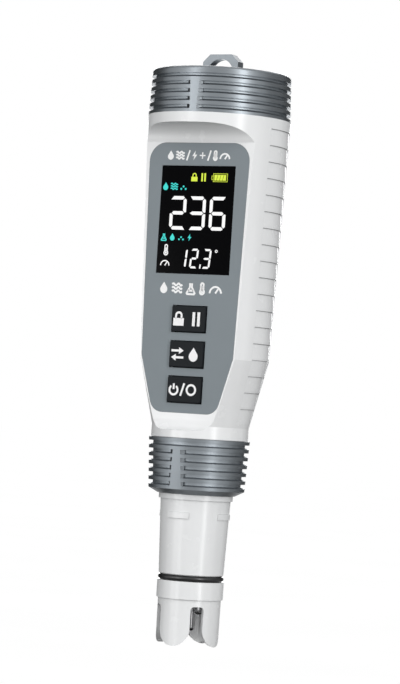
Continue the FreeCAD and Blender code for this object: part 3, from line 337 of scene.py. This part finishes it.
def cell_can():
    """Printed battery can: a dark blue sleeve with a grey band, and bare metal at each end."""
    made, tree, shader = new_material("cell_wrap")
    low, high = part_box("battery_cells")
    silver = (0.62, 0.62, 0.6, 1)
    sleeve = (0.03, 0.09, 0.22, 1)
    band = (0.5, 0.52, 0.55, 1)
    place = tree.nodes.new("ShaderNodeTexCoord")
    height = mapped(tree, height_of(tree, place.outputs["Object"]), low.z, high.z, 0, 1)
    bands = tree.nodes.new("ShaderNodeValToRGB")
    bands.color_ramp.interpolation = "CONSTANT"
    bands.color_ramp.elements[0].color = silver
    bands.color_ramp.elements[1].position = 0.06
    bands.color_ramp.elements[1].color = sleeve
    for position, colour in ((0.3, band), (0.33, sleeve), (0.94, silver)):
        bands.color_ramp.elements.new(position).color = colour
    tree.links.new(height, bands.inputs["Fac"])
    tree.links.new(bands.outputs["Color"], shader.inputs["Base Color"])
    tree.links.new(spread(tree, noise(tree, 500, 3.0), 0.22, 0.34), shader.inputs["Roughness"])
    shader.inputs["Metallic"].default_value = 0.5
    return made


# The white shell and the probe's white carry painted shade in their corners.
white_shell = moulded("white_shell", (0.86, 0.87, 0.875), 0.27, tint=0.012, painted_corner_shade_and_light=(0.45 * MM, 0.3))
softened_scoop(white_shell)
probe_white = moulded("probe_white", (0.84, 0.85, 0.855), 0.27, tint=0.015, painted_corner_shade_and_light=(0.3 * MM, 0.72))
panel_grey = moulded("panel_grey", (0.222, 0.255, 0.275), 0.55, tint=0.025, grain=4200,
                     Specular_IOR_Level=0.3)
# The greys carry painted light in their groove floors, from a corner factor above one, and painted shade on
# the grooves' ends.
ribbed_grey = moulded("ribbed_grey", (0.195, 0.214, 0.23), 0.35, painted_corner_shade_and_light=(1.6 * MM, 1.5), ends=0.4,
                      Metallic=0.85)
collar_grey = moulded("collar_grey", (0.19, 0.209, 0.225), 0.43, painted_corner_shade_and_light=(1.6 * MM, 1.5), ends=0.4,
                      Metallic=0.85)
window_black = moulded("window_black", (0.0015, 0.0015, 0.002), 0.12, tint=0.1, grain=300,
                       grain_height=0.001 * MM, Specular_IOR_Level=0.02)
key_black = moulded("key_black", (0.006, 0.008, 0.01), 0.5, tint=0.08, grain=5200,
                    grain_height=0.006 * MM, Specular_IOR_Level=0.12)
seal_black = moulded("seal_black", (0.018, 0.018, 0.019), 0.5, tint=0.1, grain=900)
ring_black = moulded("ring_black", (0.016, 0.016, 0.017), 0.3, tint=0.1, grain=900)
foam = moulded("foam", (0.06, 0.06, 0.065), 0.95, tint=0.2, grain=1500, grain_height=0.08 * MM)
nylon = moulded("nylon_black", (0.025, 0.025, 0.026), 0.45, tint=0.08)
frame_black = moulded("frame_black", (0.02, 0.02, 0.02), 0.5, tint=0.08)
chip_black = moulded("chip_black", (0.018, 0.018, 0.018), 0.6, tint=0.1, grain=6000,
                     grain_height=0.01 * MM)
lcd_dark = moulded("lcd_dark", (0.006, 0.007, 0.008), 0.08, tint=0.1, grain=200,
                   grain_height=0.001 * MM)
light_white = moulded("light_white", (0.85, 0.85, 0.83), 0.6, tint=0.02)
sensor_core = moulded("sensor_grey", (0.62, 0.63, 0.64), 0.4)
print_white = moulded("print_white", (0.96, 0.96, 0.96), 0.6, grain=5000)
steel = metal("steel", (0.62, 0.62, 0.63), 0.25, (1, 1, 0.1))
gold = metal("gold", (0.83, 0.62, 0.25), 0.22)

FINISH = {
    "case_shell": white_shell, "face_panel": panel_grey, "display_window": window_black,
    "lcd_glass": lcd_dark, "lcd_backlight": light_white, "lcd_frame": frame_black,
    "main_board": circuit_board(), "board_screws": steel, "board_components": chip_black,
    "tact_switches": frame_black, "battery_sled": nylon, "battery_cells": cell_can(),
    "battery_springs": steel, "battery_contacts": steel, "probe_socket": nylon,
    "header_pins": gold, "cap_gasket": seal_black, "battery_cap": ribbed_grey, "cap_pad": foam,
    "probe_stem": probe_white, "stem_o_ring": ring_black, "electrode_guard": probe_white,
    "electrode_insulator": sensor_core, "electrode_pins": steel, "temperature_sensor": steel,
    "probe_plug": nylon, "plug_pins": gold, "probe_face_seal": seal_black,
    "collar_nut": collar_grey, "hold_key": key_black, "mode_key": key_black,
    "power_key": key_black, "hold_plunger": chip_black, "mode_plunger": chip_black,
    "power_plunger": chip_black,
}


def dress_nodes():
    """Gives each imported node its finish."""
    for name, finish in FINISH.items():
        materials = NODES[name].data.materials
        materials.clear()
        materials.append(finish)


# Mesh helpers

def object_of(name, mesh):
    """An object of a bmesh, which it uses up."""
    data = bpy.data.meshes.new(name)
    mesh.to_mesh(data)
    mesh.free()
    made = bpy.data.objects.new(name, data)
    scene.collection.objects.link(made)
    return made


def solid_of(name, mesh):
    """An object of a closed bmesh, with its faces turned outward."""
    bmesh.ops.recalc_face_normals(mesh, faces=mesh.faces)
    return object_of(name, mesh)


def piece_from(name, mesh, finish, body):
    """Makes a solid of a bmesh, gives it its finish and lets it ride on a body."""
    made = solid_of(name, mesh)
    made.data.materials.append(finish)
    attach(made, body)
    return made


def inset(points, gap):
    """A convex outline drawn in by a gap on every side."""
    inner = []
    count = len(points)
    area = sum(points[i - 1][0] * points[i][1] - points[i][0] * points[i - 1][1] for i in range(count))
    turn = math.copysign(1, area)
    for index, point in enumerate(points):
        before = Vector(point) - Vector(points[index - 1])
        after = Vector(points[(index + 1) % count]) - Vector(point)
        first = Vector((-before.y, before.x)).normalized() * turn
        second = Vector((-after.y, after.x)).normalized() * turn
        inner.append(Vector(point) + (first + second) * gap / (1 + first.dot(second)))
    return inner


def add_plate(mesh, points, front, back):
    """A closed plate parallel to the front, from flat (x, z) points, between two depths."""
    near = [mesh.verts.new((x, front, z)) for x, z in points]
    far = [mesh.verts.new((x, back, z)) for x, z in points]
    mesh.faces.new(near)
    mesh.faces.new(list(reversed(far)))
    for index, vertex in enumerate(near):
        after = (index + 1) % len(near)
        mesh.faces.new((vertex, near[after], far[after], far[index]))


def add_stroke(mesh, points, width, front, back, closed=False):
    """A printed line of even width along (x, z) points, mitred at its corners."""
    way = [Vector(point) for point in points]
    count = len(way)
    sides = []
    for index, point in enumerate(way):
        before = way[index - 1] if closed or index else None
        after = way[(index + 1) % count] if closed or index < count - 1 else None
        first = (point - before).normalized() if before is not None else (after - point).normalized()
        second = (after - point).normalized() if after is not None else first
        normal = Vector((-first.y, first.x)) + Vector((-second.y, second.x))
        reach = width / max(normal.length_squared, 0.5)
        sides.append((point + normal * reach, point - normal * reach))
    rings = [[mesh.verts.new((p.x, depth, p.y)) for depth in (front, back) for p in pair]
             for pair in sides]
    for index in range(count if closed else count - 1):
        a = rings[index]
        b = rings[(index + 1) % count]
        mesh.faces.new((a[0], a[1], b[1], b[0]))
        mesh.faces.new((a[2], b[2], b[3], a[3]))
        mesh.faces.new((a[0], b[0], b[2], a[2]))
        mesh.faces.new((a[1], a[3], b[3], b[1]))
    if not closed:
        mesh.faces.new((rings[0][0], rings[0][2], rings[0][3], rings[0][1]))
        mesh.faces.new((rings[-1][0], rings[-1][1], rings[-1][3], rings[-1][2]))


def arc(x, z, radius, start, end, steps=16):
    """Points on an arc, in degrees from the right, counter-clockwise."""
    return [(x + radius * math.cos(math.radians(start + (end - start) * k / steps)),
             z + radius * math.sin(math.radians(start + (end - start) * k / steps)))
            for k in range(steps + 1)]


def in_metres(points):
    """Points given in millimetres."""
    return [(x * MM, z * MM) for x, z in points]


# Pictograms, drawn in a box one unit high: each is (width, open lines, closed lines, filled outlines).

def drop():
    return 0.72, [], [], [[(0.36, 1.0)] + arc(0.36, 0.36, 0.36, 145, 395, 20)]


def waves():
    """Three waves of two periods each."""
    rows = [[(k / 12, level + 0.09 * math.sin(k / 12 * 4 * math.pi)) for k in range(13)]
            for level in (0.2, 0.5, 0.8)]
    return 1.0, rows, [], []


def bolt():
    return 0.6, [], [], [[(0.38, 1.0), (0.0, 0.42), (0.24, 0.42), (0.18, 0.0), (0.6, 0.58), (0.34, 0.58)]]


def plus():
    """A cross, of one half and the same half turned round its middle."""
    half = [(0.28, 0.57), (0.28, 0.85), (0.42, 0.85), (0.42, 0.57), (0.7, 0.57), (0.7, 0.43)]
    return 0.7, [], [], [half + [(0.7 - x, 1 - z) for x, z in half]]


def slash():
    return 0.34, [[(0.0, -0.05), (0.34, 1.05)]], [], []


def thermometer():
    """A glass with a filled bulb and its column."""
    glass = arc(0.25, 0.85, 0.13, 0, 180, 8) + arc(0.25, 0.22, 0.2, 130, 410, 20)
    return 0.5, [[(0.25, 0.3), (0.25, 0.72)]], [glass], [arc(0.25, 0.22, 0.1, 0, 337.5, 15)]


def gauge():
    """A dial with its needle."""
    return 1.2, [arc(0.6, 0.14, 0.56, 180, 0, 20), [(0.6, 0.14), (0.86, 0.52)]], [], []


def flask():
    """A flask with its level of liquid."""
    body = [(0.3, 0.95), (0.3, 0.6), (0.0, 0.08), (0.06, 0.0), (0.74, 0.0), (0.8, 0.08), (0.5, 0.6),
            (0.5, 0.95)]
    return 0.8, [body, [(0.16, 0.3), (0.64, 0.3)]], [], []


def padlock():
    shackle = [(0.2, 0.5)] + arc(0.425, 0.72, 0.225, 180, 0, 10) + [(0.65, 0.5)]
    return 0.85, [shackle], [], [[(0.0, 0.0), (0.85, 0.0), (0.85, 0.54), (0.0, 0.54)]]


def pause():
    return 0.62, [], [], [[(x, 0.0), (x + 0.22, 0.0), (x + 0.22, 1.0), (x, 1.0)] for x in (0.0, 0.4)]


def swap():
    """An arrow to the right over one to the left."""
    forward = [(0.0, 0.66), (0.62, 0.66), (0.62, 0.5), (1.0, 0.74), (0.62, 0.98), (0.62, 0.82), (0.0, 0.82)]
    return 1.0, [], [], [forward, [(1 - x, 1 - z) for x, z in forward]]


def standby():
    """A ring open at the top, with a bar in the opening."""
    return 0.9, [arc(0.45, 0.44, 0.4, 125, 415, 24), [(0.45, 0.5), (0.45, 1.0)]], [], []


def ring():
    return 0.9, [], [arc(0.45, 0.5, 0.42, 0, 360, 28)[:-1]], []


def dots():
    return 0.9, [], [], [arc(0.13 + 0.32 * k, 0.2 + 0.3 * (k % 2), 0.13, 0, 330, 11) for k in range(3)]


def draw_row(mesh, icons, left, low, width, height, stroke, front, back):
    """Sets pictograms side by side, spread over a width."""
    drawn = [icon() for icon in icons]
    gaps = max(len(drawn) - 1, 1)
    space = (width - sum(item[0] for item in drawn) * height) / gaps
    x = left
    for wide, lines, loops, fills in drawn:
        for shapes, closed in ((lines, False), (loops, True)):
            for shape in shapes:
                add_stroke(mesh, [(x + p * height, low + q * height) for p, q in shape], stroke,
                           front, back, closed)
        for shape in fills:
            add_plate(mesh, [(x + p * height, low + q * height) for p, q in shape], front, back)
        x += wide * height + space


def print_row(name, icons, low_corner, high_corner, stroke, finish, body, face):
    """One printed row between two corners given in millimetres, on a face at a depth."""
    mesh = bmesh.new()
    left, low = (value * MM for value in low_corner)
    right, high = (value * MM for value in high_corner)
    draw_row(mesh, icons, left, low, right - left, high - low, stroke * MM,
             face - PRINT_PROUD, face + PRINT_SUNK)
    return piece_from(name, mesh, finish, body)


# Seven-segment figures. A bar's free end runs outward or inward as the display's own do.

def segment_bars(width, height, bar_width, corner):
    """The seven bars and their free-ended forms, as outlines from the low left of the figure.

    A top or foot bar takes the form of its left and its right end. The corner is how far a figure's outer
    corner is cut off along each side.
    """
    w, h, t, c = width, height, bar_width, corner
    m = h / 2
    n = t / 2
    top_left = {"joined": [(t, h - t), (c / 2, h - c / 2), (c, h)],
                "long": [(0.85 * t, h - t), (0.1 * t, h)],
                "short": [(0.1 * t, h - t), (c, h)]}
    top_right = {"joined": [(w - c, h), (w - c / 2, h - c / 2), (w - t, h - t)],
                 "long": [(w - 0.1 * t, h), (w - 0.85 * t, h - t)]}
    foot_left = {side: [(x, h - z) for x, z in reversed(points)] for side, points in top_left.items()}
    foot_right = {side: [(x, h - z) for x, z in reversed(points)] for side, points in top_right.items()}
    upper = [(w - t, h - t), (w - c / 2, h - c / 2), (w, h - c), (w, m + 0.3 * n), (w - n, m),
             (w - t, m + n)]
    lower = [(x, h - z) for x, z in reversed(upper)]
    middle_right = [(w - t, m - n), (w - n, m), (w - t, m + n)]
    return {
        "top": lambda left, right: top_left[left] + top_right[right],
        "foot": lambda left, right: foot_right[right] + foot_left[left],
        "middle": [(n, m), (t, m - n)] + middle_right + [(t, m + n)],
        "long middle": [(0.1 * t, m), (0.9 * t, m - n)] + middle_right + [(0.9 * t, m + n)],
        "upper right": upper,
        "lower right": lower,
        "upper left": [(w - x, z) for x, z in reversed(upper)],
        "lower left": [(w - x, z) for x, z in reversed(lower)],
    }


def figure(digit, bars):
    """The lit bars of a figure."""
    top = bars["top"]
    foot = bars["foot"]
    forms = {
        "1": [bars["upper right"], bars["lower right"]],
        "2": [top("short", "joined"), bars["upper right"], bars["middle"], bars["lower left"],
              foot("joined", "long")],
        "3": [top("long", "joined"), bars["upper right"], bars["long middle"], bars["lower right"],
              foot("long", "joined")],
        "6": [top("joined", "long"), bars["upper left"], bars["middle"], bars["lower left"],
              bars["lower right"], foot("joined", "joined")],
    }
    return forms[digit]


def figures(name, text, lefts, low, width, height, bar_width, corner, slant, gap, finish, point=None):
    """A row of lit figures on the window, in millimetres, and a point of (left, width, height)."""
    mesh = bmesh.new()
    bars = segment_bars(width, height, bar_width, corner)

    def add_bar(outline, left):
        laid = [(left + x + z * slant, low + z) for x, z in inset(outline, gap)]
        add_plate(mesh, in_metres(laid), WINDOW_FACE - PRINT_PROUD, WINDOW_FACE + PRINT_SUNK)

    for digit, left in zip(text, lefts):
        for outline in figure(digit, bars):
            add_bar(outline, left)
    if point:
        left, wide, tall = point
        add_bar([(0, 0), (wide, 0), (wide, tall), (0, tall)], left)
    return piece_from(name, mesh, finish, "case")


# The display's signs: name, colour, pictograms, low left and high right corner and line, in millimetres.
DISPLAY_SIGNS = (
    ("display_hold_mark", "yellow", (padlock, pause), (-2.2, 128.5), (2.4, 130.8), 0.3),
    ("display_mode_mark", "cyan", (drop, waves, dots), (-11.0, 125.9), (-3.5, 128.1), 0.32),
    ("display_unit_mark", "cyan", (flask, drop, dots, bolt), (-10.6, 111.9), (-1.0, 113.9), 0.32),
    ("display_heat_mark", "white", (thermometer,), (-9.6, 107.8), (-8.2, 110.8), 0.3),
    ("display_scale_mark", "white", (gauge,), (-10.4, 104.6), (-7.4, 107.0), 0.32),
    ("display_degree_mark", "white", (ring,), (6.8, 108.9), (7.45, 109.65), 0.22),
)


def display():
    """What the display shows: two readings and small pictograms round them."""
    light = {"white": lit("lit_white", (1.0, 1.0, 1.0)), "yellow": lit("lit_yellow", (0.72, 0.87, 0.05)),
             "cyan": lit("lit_cyan", (0.03, 0.72, 0.66))}
    figures("reading_main", "236", (-8.5, -2.35, 4.06), 114.85, width=5.4, height=9.6, bar_width=1.22,
            corner=1.15, slant=0.0, gap=0.13, finish=light["white"])
    figures("reading_second", "123", (-4.8, -1.3, 2.75), 104.3, width=2.55, height=5.6, bar_width=0.7,
            corner=0.6, slant=0.095, gap=0.07, finish=light["white"], point=(1.95, 0.55, 1.3))
    for name, colour, icons, low_corner, high_corner, stroke in DISPLAY_SIGNS:
        print_row(name, icons, low_corner, high_corner, stroke, light[colour], "case",
                  WINDOW_FACE)
    battery_mark(light["yellow"])


def battery_mark(finish):
    """Battery sign with its nub on the left and four slanting bars of charge, in millimetres."""
    left, right, low, high = 4.8, 9.2, 128.5, 130.7
    nub_left, nub_right, nub_low, nub_high = left - 0.5, left - 0.1, 129.05, 130.05
    line, margin, lean, between, bars = 0.13 * MM, 0.3, 0.35, 0.12, 4
    front, back = WINDOW_FACE - PRINT_PROUD, WINDOW_FACE + PRINT_SUNK
    mesh = bmesh.new()
    rim = [(left, low), (right, low), (right, high), (left, high)]
    add_stroke(mesh, in_metres(rim), line, front, back, True)
    nub = [(nub_right, nub_low), (nub_left, nub_low), (nub_left, nub_high), (nub_right, nub_high)]
    add_stroke(mesh, in_metres(nub), line, front, back)
    pitch = (right - left - 2 * margin) / bars
    for number in range(bars):
        start = left + margin + number * pitch
        end = start + pitch - between
        start_lean = lean / 2 if number else 0
        end_lean = lean / 2 if number < bars - 1 else 0
        bar = [(start - start_lean, low + margin), (end - end_lean, low + margin),
               (end + end_lean, high - margin), (start + start_lean, high - margin)]
        add_plate(mesh, in_metres(bar), front, back)
    piece_from("display_battery_mark", mesh, finish, "case")


# The plate's signs in the same order, and each key's signs with their height.
PLATE_SIGNS = (
    ("plate_signs_top", (drop, waves, slash, bolt, plus, slash, thermometer, gauge),
     (-10.1, 134.4), (9.6, 137.0), 0.48),
    ("plate_signs_low", (drop, waves, flask, thermometer, gauge), (-9.9, 97.2), (9.6, 100.4), 0.55),
)
KEY_SIGNS = {"hold": ((padlock, pause), 3.9), "mode": ((swap, drop), 3.9),
             "power": ((standby, slash, ring), 3.2)}
KEY_SIGN_LEFT = -4.7
KEY_SIGN_RIGHT = 3.7
KEY_SIGN_STROKE = 0.6


def printed_signs():
    """Pictograms on the plate above and below the window, and on each key."""
    for name, icons, low_corner, high_corner, stroke in PLATE_SIGNS:
        print_row(name, icons, low_corner, high_corner, stroke, print_white, "case",
                  PLATE_LOW.y)
    for key, (icons, height) in KEY_SIGNS.items():
        low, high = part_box(key + "_key")
        middle = (low.z + high.z) / 2 / MM
        print_row("legend_" + key, icons, (KEY_SIGN_LEFT, middle - height / 2),
                  (KEY_SIGN_RIGHT, middle + height / 2), KEY_SIGN_STROKE, print_white, key,
                  low.y)


# Screw threads, right-handed, on both spigots and inside the cap and the collar.

def thread(name, radius, crest, pitch, width, low, high, start, body, finish):
    """A helical ridge on a cylinder; crest is the ridge's height, negative inside a bore."""
    mesh = bmesh.new()
    count = int((high - low - width) / pitch * THREAD_STEPS)
    run_out = THREAD_STEPS / 4
    root = radius - math.copysign(THREAD_ROOT, crest)
    rings = []
    for number in range(count + 1):
        angle = start + 2 * math.pi * number / THREAD_STEPS
        tip = radius + crest * min(1.0, number / run_out, (count - number) / run_out)
        middle = low + width / 2 + pitch * number / THREAD_STEPS
        profile = [(root, -width / 2), (tip, -width / 5), (tip, width / 5), (root, width / 2)]
        rings.append([mesh.verts.new((r * math.cos(angle), r * math.sin(angle), middle + z))
                      for r, z in profile])
    for a, b in zip(rings, rings[1:]):
        for k in range(4):
            mesh.faces.new((a[k], a[(k + 1) % 4], b[(k + 1) % 4], b[k]))
    mesh.faces.new(rings[0])
    mesh.faces.new(list(reversed(rings[-1])))
    piece_from(name, mesh, finish, body).data.shade_smooth()


def threads():
    """Each spigot's thread, and its match inside, which starts half a turn on."""
    case_low, case_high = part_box("case_shell")
    cap_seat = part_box("battery_cap")[0].z
    collar_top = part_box("collar_nut")[1].z
    thread("cap_spigot_thread", CAP_SPIGOT_RADIUS, THREAD_HEIGHT, CAP_PITCH, CAP_THREAD_WIDTH,
           cap_seat + 2.0 * MM, case_high.z - 0.6 * MM, 0.0, "case", white_shell)
    thread("cap_inner_thread", CAP_BORE_RADIUS, -THREAD_HEIGHT, CAP_PITCH, CAP_THREAD_WIDTH,
           cap_seat + 2.0 * MM, case_high.z - 0.2 * MM, math.pi, "cap", ribbed_grey)
    thread("collar_spigot_thread", COLLAR_SPIGOT_RADIUS, THREAD_HEIGHT, COLLAR_PITCH, COLLAR_THREAD_WIDTH,
           case_low.z + 0.5 * MM, collar_top - 1.2 * MM, 0.0, "case", white_shell)
    thread("collar_inner_thread", COLLAR_BORE_RADIUS, -THREAD_HEIGHT, COLLAR_PITCH, COLLAR_THREAD_WIDTH,
           case_low.z + 0.5 * MM, collar_top - 0.6 * MM, math.pi, "nut", ribbed_grey)


# The electrode guard, whose slots run straight through the wall to the well. It is made in millimetres.

def revolved(profile, steps):
    """A closed ring of a profile of (radius, z) points."""
    mesh = bmesh.new()
    rings = []
    for number in range(steps):
        angle = 2 * math.pi * number / steps
        rings.append([mesh.verts.new((r * math.cos(angle), r * math.sin(angle), z)) for r, z in profile])
    for index, here in enumerate(rings):
        following = rings[(index + 1) % steps]
        for k in range(len(profile)):
            after = (k + 1) % len(profile)
            mesh.faces.new((here[k], following[k], following[after], here[after]))
    return mesh


def slot_cutter(turn):
    """A bar along one pair of slots: straight up to its rounded roof, flared round the petals' ends below."""
    side = [(SLOT_WIDTH / 2 - SLOT_ROOF_CORNER + x, SLOT_ROOF - SLOT_ROOF_CORNER + z)
            for x, z in arc(0, 0, SLOT_ROOF_CORNER, 90, 0, 6)]
    for step in range(PETAL_STEPS + 1):
        across = PETAL_HALF_WIDTH * math.sin(math.pi / 2 * (1 - step / PETAL_STEPS))
        height = PETAL_HALF_WIDTH - math.sqrt(PETAL_HALF_WIDTH * PETAL_HALF_WIDTH - across * across)
        angle = math.pi / 4 - math.asin(across / PETAL_RADIUS)
        side.append((PETAL_RADIUS * math.sin(angle), height))
    side.append((side[-1][0], -1.0))
    outline = side + [(-x, z) for x, z in reversed(side)]
    mesh = bmesh.new()
    add_plate(mesh, outline, -2 * PETAL_RADIUS, 2 * PETAL_RADIUS)
    bmesh.ops.rotate(mesh, verts=mesh.verts, matrix=Matrix.Rotation(turn, 3, "Z"))
    return mesh


def slotted_guard():
    """Four petals between slots with parallel walls, under the collar and the neck that the stem holds."""
    low, high = (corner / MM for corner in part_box("electrode_guard"))
    turned = solid_of("guard_turned", revolved([
        (GUARD_INNER, low.z), (GUARD_OUTER - GUARD_TAPER, low.z), (GUARD_OUTER, GUARD_COLLAR_FOOT),
        (high.x, GUARD_COLLAR_FOOT), (high.x, GUARD_COLLAR_TOP), (GUARD_NECK, GUARD_COLLAR_TOP),
        (GUARD_NECK, high.z), (GUARD_NECK_BORE, high.z), (GUARD_NECK_BORE, GUARD_COLLAR_FOOT),
        (GUARD_INNER, GUARD_COLLAR_FOOT)], GUARD_STEPS))
    cutters = [solid_of("guard_slot", slot_cutter(turn)) for turn in (math.pi / 4, -math.pi / 4)]
    for cutter in cutters:
        cut = turned.modifiers.new("slot", "BOOLEAN")
        cut.object = cutter
        cut.solver = "EXACT"
    bpy.context.view_layer.update()
    data = bpy.data.meshes.new_from_object(turned.evaluated_get(bpy.context.evaluated_depsgraph_get()))
    for spent in [turned] + cutters:
        bpy.data.objects.remove(spent)
    mesh = bmesh.new()
    mesh.from_mesh(data)
    bmesh.ops.remove_doubles(mesh, verts=mesh.verts, dist=0.002)
    bmesh.ops.scale(mesh, vec=(MM, MM, MM), verts=mesh.verts)
    made = piece_from("guard_petals", mesh, probe_white, "probe")
    made.data.shade_smooth()
    made.data.set_sharp_from_angle(angle=math.radians(30))
    rounding = made.modifiers.new("edges", "BEVEL")
    rounding.width = 0.15 * MM
    rounding.segments = 3
    rounding.limit_method = "ANGLE"
    rounding.angle_limit = math.radians(40)
    even = made.modifiers.new("even", "WEIGHTED_NORMAL")
    even.keep_sharp = True
    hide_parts("electrode_guard")


# Stage

def white_for_eyes(tree, plain, white):
    """Mixes the plain shader with the white one that only camera, mirror and glass rays see."""
    path = tree.nodes.new("ShaderNodeLightPath")
    seen = path.outputs["Is Camera Ray"]
    for other in ("Is Glossy Ray", "Is Transmission Ray"):
        seen = maths(tree, "MAXIMUM", seen, path.outputs[other])
    mix = tree.nodes.new("ShaderNodeMixShader")
    for socket, source in zip(mix.inputs, (seen, plain, white)):
        tree.links.new(source, socket)
    return mix.outputs[0]


def make_world():
    """An even fill on the pen, in front of a white that only eyes, mirrors and glass see."""
    world = bpy.data.worlds.new("studio")
    scene.world = world
    world.use_nodes = True
    tree = world.node_tree
    fill = tree.nodes["Background"]
    fill.inputs["Color"].default_value = (1, 1, 1, 1)
    fill.inputs["Strength"].default_value = FILL_STRENGTH
    white = tree.nodes.new("ShaderNodeBackground")
    white.inputs["Color"].default_value = (1, 1, 1, 1)
    white.inputs["Strength"].default_value = 1.0
    shown = white_for_eyes(tree, fill.outputs[0], white.outputs[0])
    tree.links.new(shown, tree.nodes["World Output"].inputs["Surface"])


def make_floor():
    """A wide pale floor, far below the tip, that melts into the white background."""
    mesh = bmesh.new()
    bmesh.ops.create_circle(mesh, cap_ends=True, segments=96, radius=FLOOR_RADIUS)
    floor = object_of("floor", mesh)
    floor.location.z = FLOOR_HEIGHT
    made, tree, shader = new_material("floor_pale")
    shader.inputs["Roughness"].default_value = 0.9
    shader.inputs["Specular IOR Level"].default_value = 0.0
    shade = blended(tree, spread(tree, noise(tree, 3), 0, 1), [FLOOR_SHADE - FLOOR_DRIFT] * 3,
                    [FLOOR_SHADE + FLOOR_DRIFT] * 3)
    tree.links.new(shade, shader.inputs["Base Color"])
    glow = tree.nodes.new("ShaderNodeEmission")
    glow.inputs["Strength"].default_value = 1 - FLOOR_SHADE * FILL_STRENGTH
    both = tree.nodes.new("ShaderNodeAddShader")
    tree.links.new(shader.outputs[0], both.inputs[0])
    tree.links.new(glow.outputs[0], both.inputs[1])
    shown = white_for_eyes(tree, shader.outputs[0], both.outputs[0])
    tree.links.new(shown, tree.nodes["Material Output"].inputs["Surface"])
    floor.data.materials.append(made)


def backward(azimuth, elevation):
    """The direction from the pen to an eye at an azimuth and an elevation, in degrees."""
    a, e = math.radians(azimuth), math.radians(elevation)
    return Vector((math.sin(a) * math.cos(e), -math.cos(a) * math.cos(e), math.sin(e)))


def face_the_pen(made, azimuth, elevation, distance):
    """Sets an unseen object round the pen and turns it there; azimuth is counted from the camera's."""
    back = backward(CAMERA_AZIMUTH + azimuth, elevation)
    made.rotation_mode = "QUATERNION"
    made.location = back * distance + Vector((0, 0, TARGET_HEIGHT))
    made.rotation_quaternion = back.to_track_quat("Z", "Y")
    made.visible_camera = False


def soft_box(name, azimuth, elevation, distance, width, height, radiance):
    """A rectangular lamp of an even radiance."""
    lamp = bpy.data.lights.new(name, "AREA")
    lamp.shape = "RECTANGLE"
    lamp.size = width
    lamp.size_y = height
    lamp.energy = radiance * math.pi * width * height
    made = bpy.data.objects.new(name, lamp)
    face_the_pen(made, azimuth, elevation, distance)
    scene.collection.objects.link(made)


def flag(name, azimuth, elevation, distance, width, height, shade, only_gloss):
    """A dark cloth that keeps light off one side, or one that only the gloss shows."""
    mesh = bmesh.new()
    corners = [(-width / 2, -height / 2), (width / 2, -height / 2), (width / 2, height / 2),
               (-width / 2, height / 2)]
    mesh.faces.new([mesh.verts.new((x, y, 0)) for x, y in corners])
    made = object_of(name, mesh)
    face_the_pen(made, azimuth, elevation, distance)
    made.visible_shadow = not only_gloss
    made.visible_diffuse = not only_gloss
    cloth, _, shader = new_material(name + "_cloth")
    shader.inputs["Base Color"].default_value = (shade, shade, shade, 1)
    shader.inputs["Roughness"].default_value = 0.9
    shader.inputs["Specular IOR Level"].default_value = 0.0
    made.data.materials.append(cloth)


def make_camera():
    """The photograph's camera, turned about its axis by the roll."""
    azimuth, roll = math.radians(CAMERA_AZIMUTH), math.radians(CAMERA_ROLL)
    back = backward(CAMERA_AZIMUTH, CAMERA_ELEVATION)
    right = Vector((math.cos(azimuth), math.sin(azimuth), 0))
    up = right.cross(-back)
    across = right * math.cos(roll) + up * math.sin(roll)
    upright = up * math.cos(roll) - right * math.sin(roll)
    data = bpy.data.cameras.new("camera")
    data.lens = CAMERA_LENS
    data.sensor_fit = "AUTO"
    data.sensor_width = CAMERA_SENSOR
    made = bpy.data.objects.new("camera", data)
    place = Matrix((across, upright, back)).transposed().to_4x4()
    place.translation = right * TARGET_SIDE + Vector((0, 0, TARGET_HEIGHT)) + back * CAMERA_DISTANCE
    made.matrix_world = place
    scene.collection.objects.link(made)
    scene.camera = made


dress_nodes()
display()
printed_signs()
threads()
slotted_guard()
make_world()
make_floor()
for lamp in LAMPS:
    soft_box(*lamp)
for cloth in FLAGS:
    flag(*cloth)
make_camera()
scene.view_settings.view_transform = "Standard"
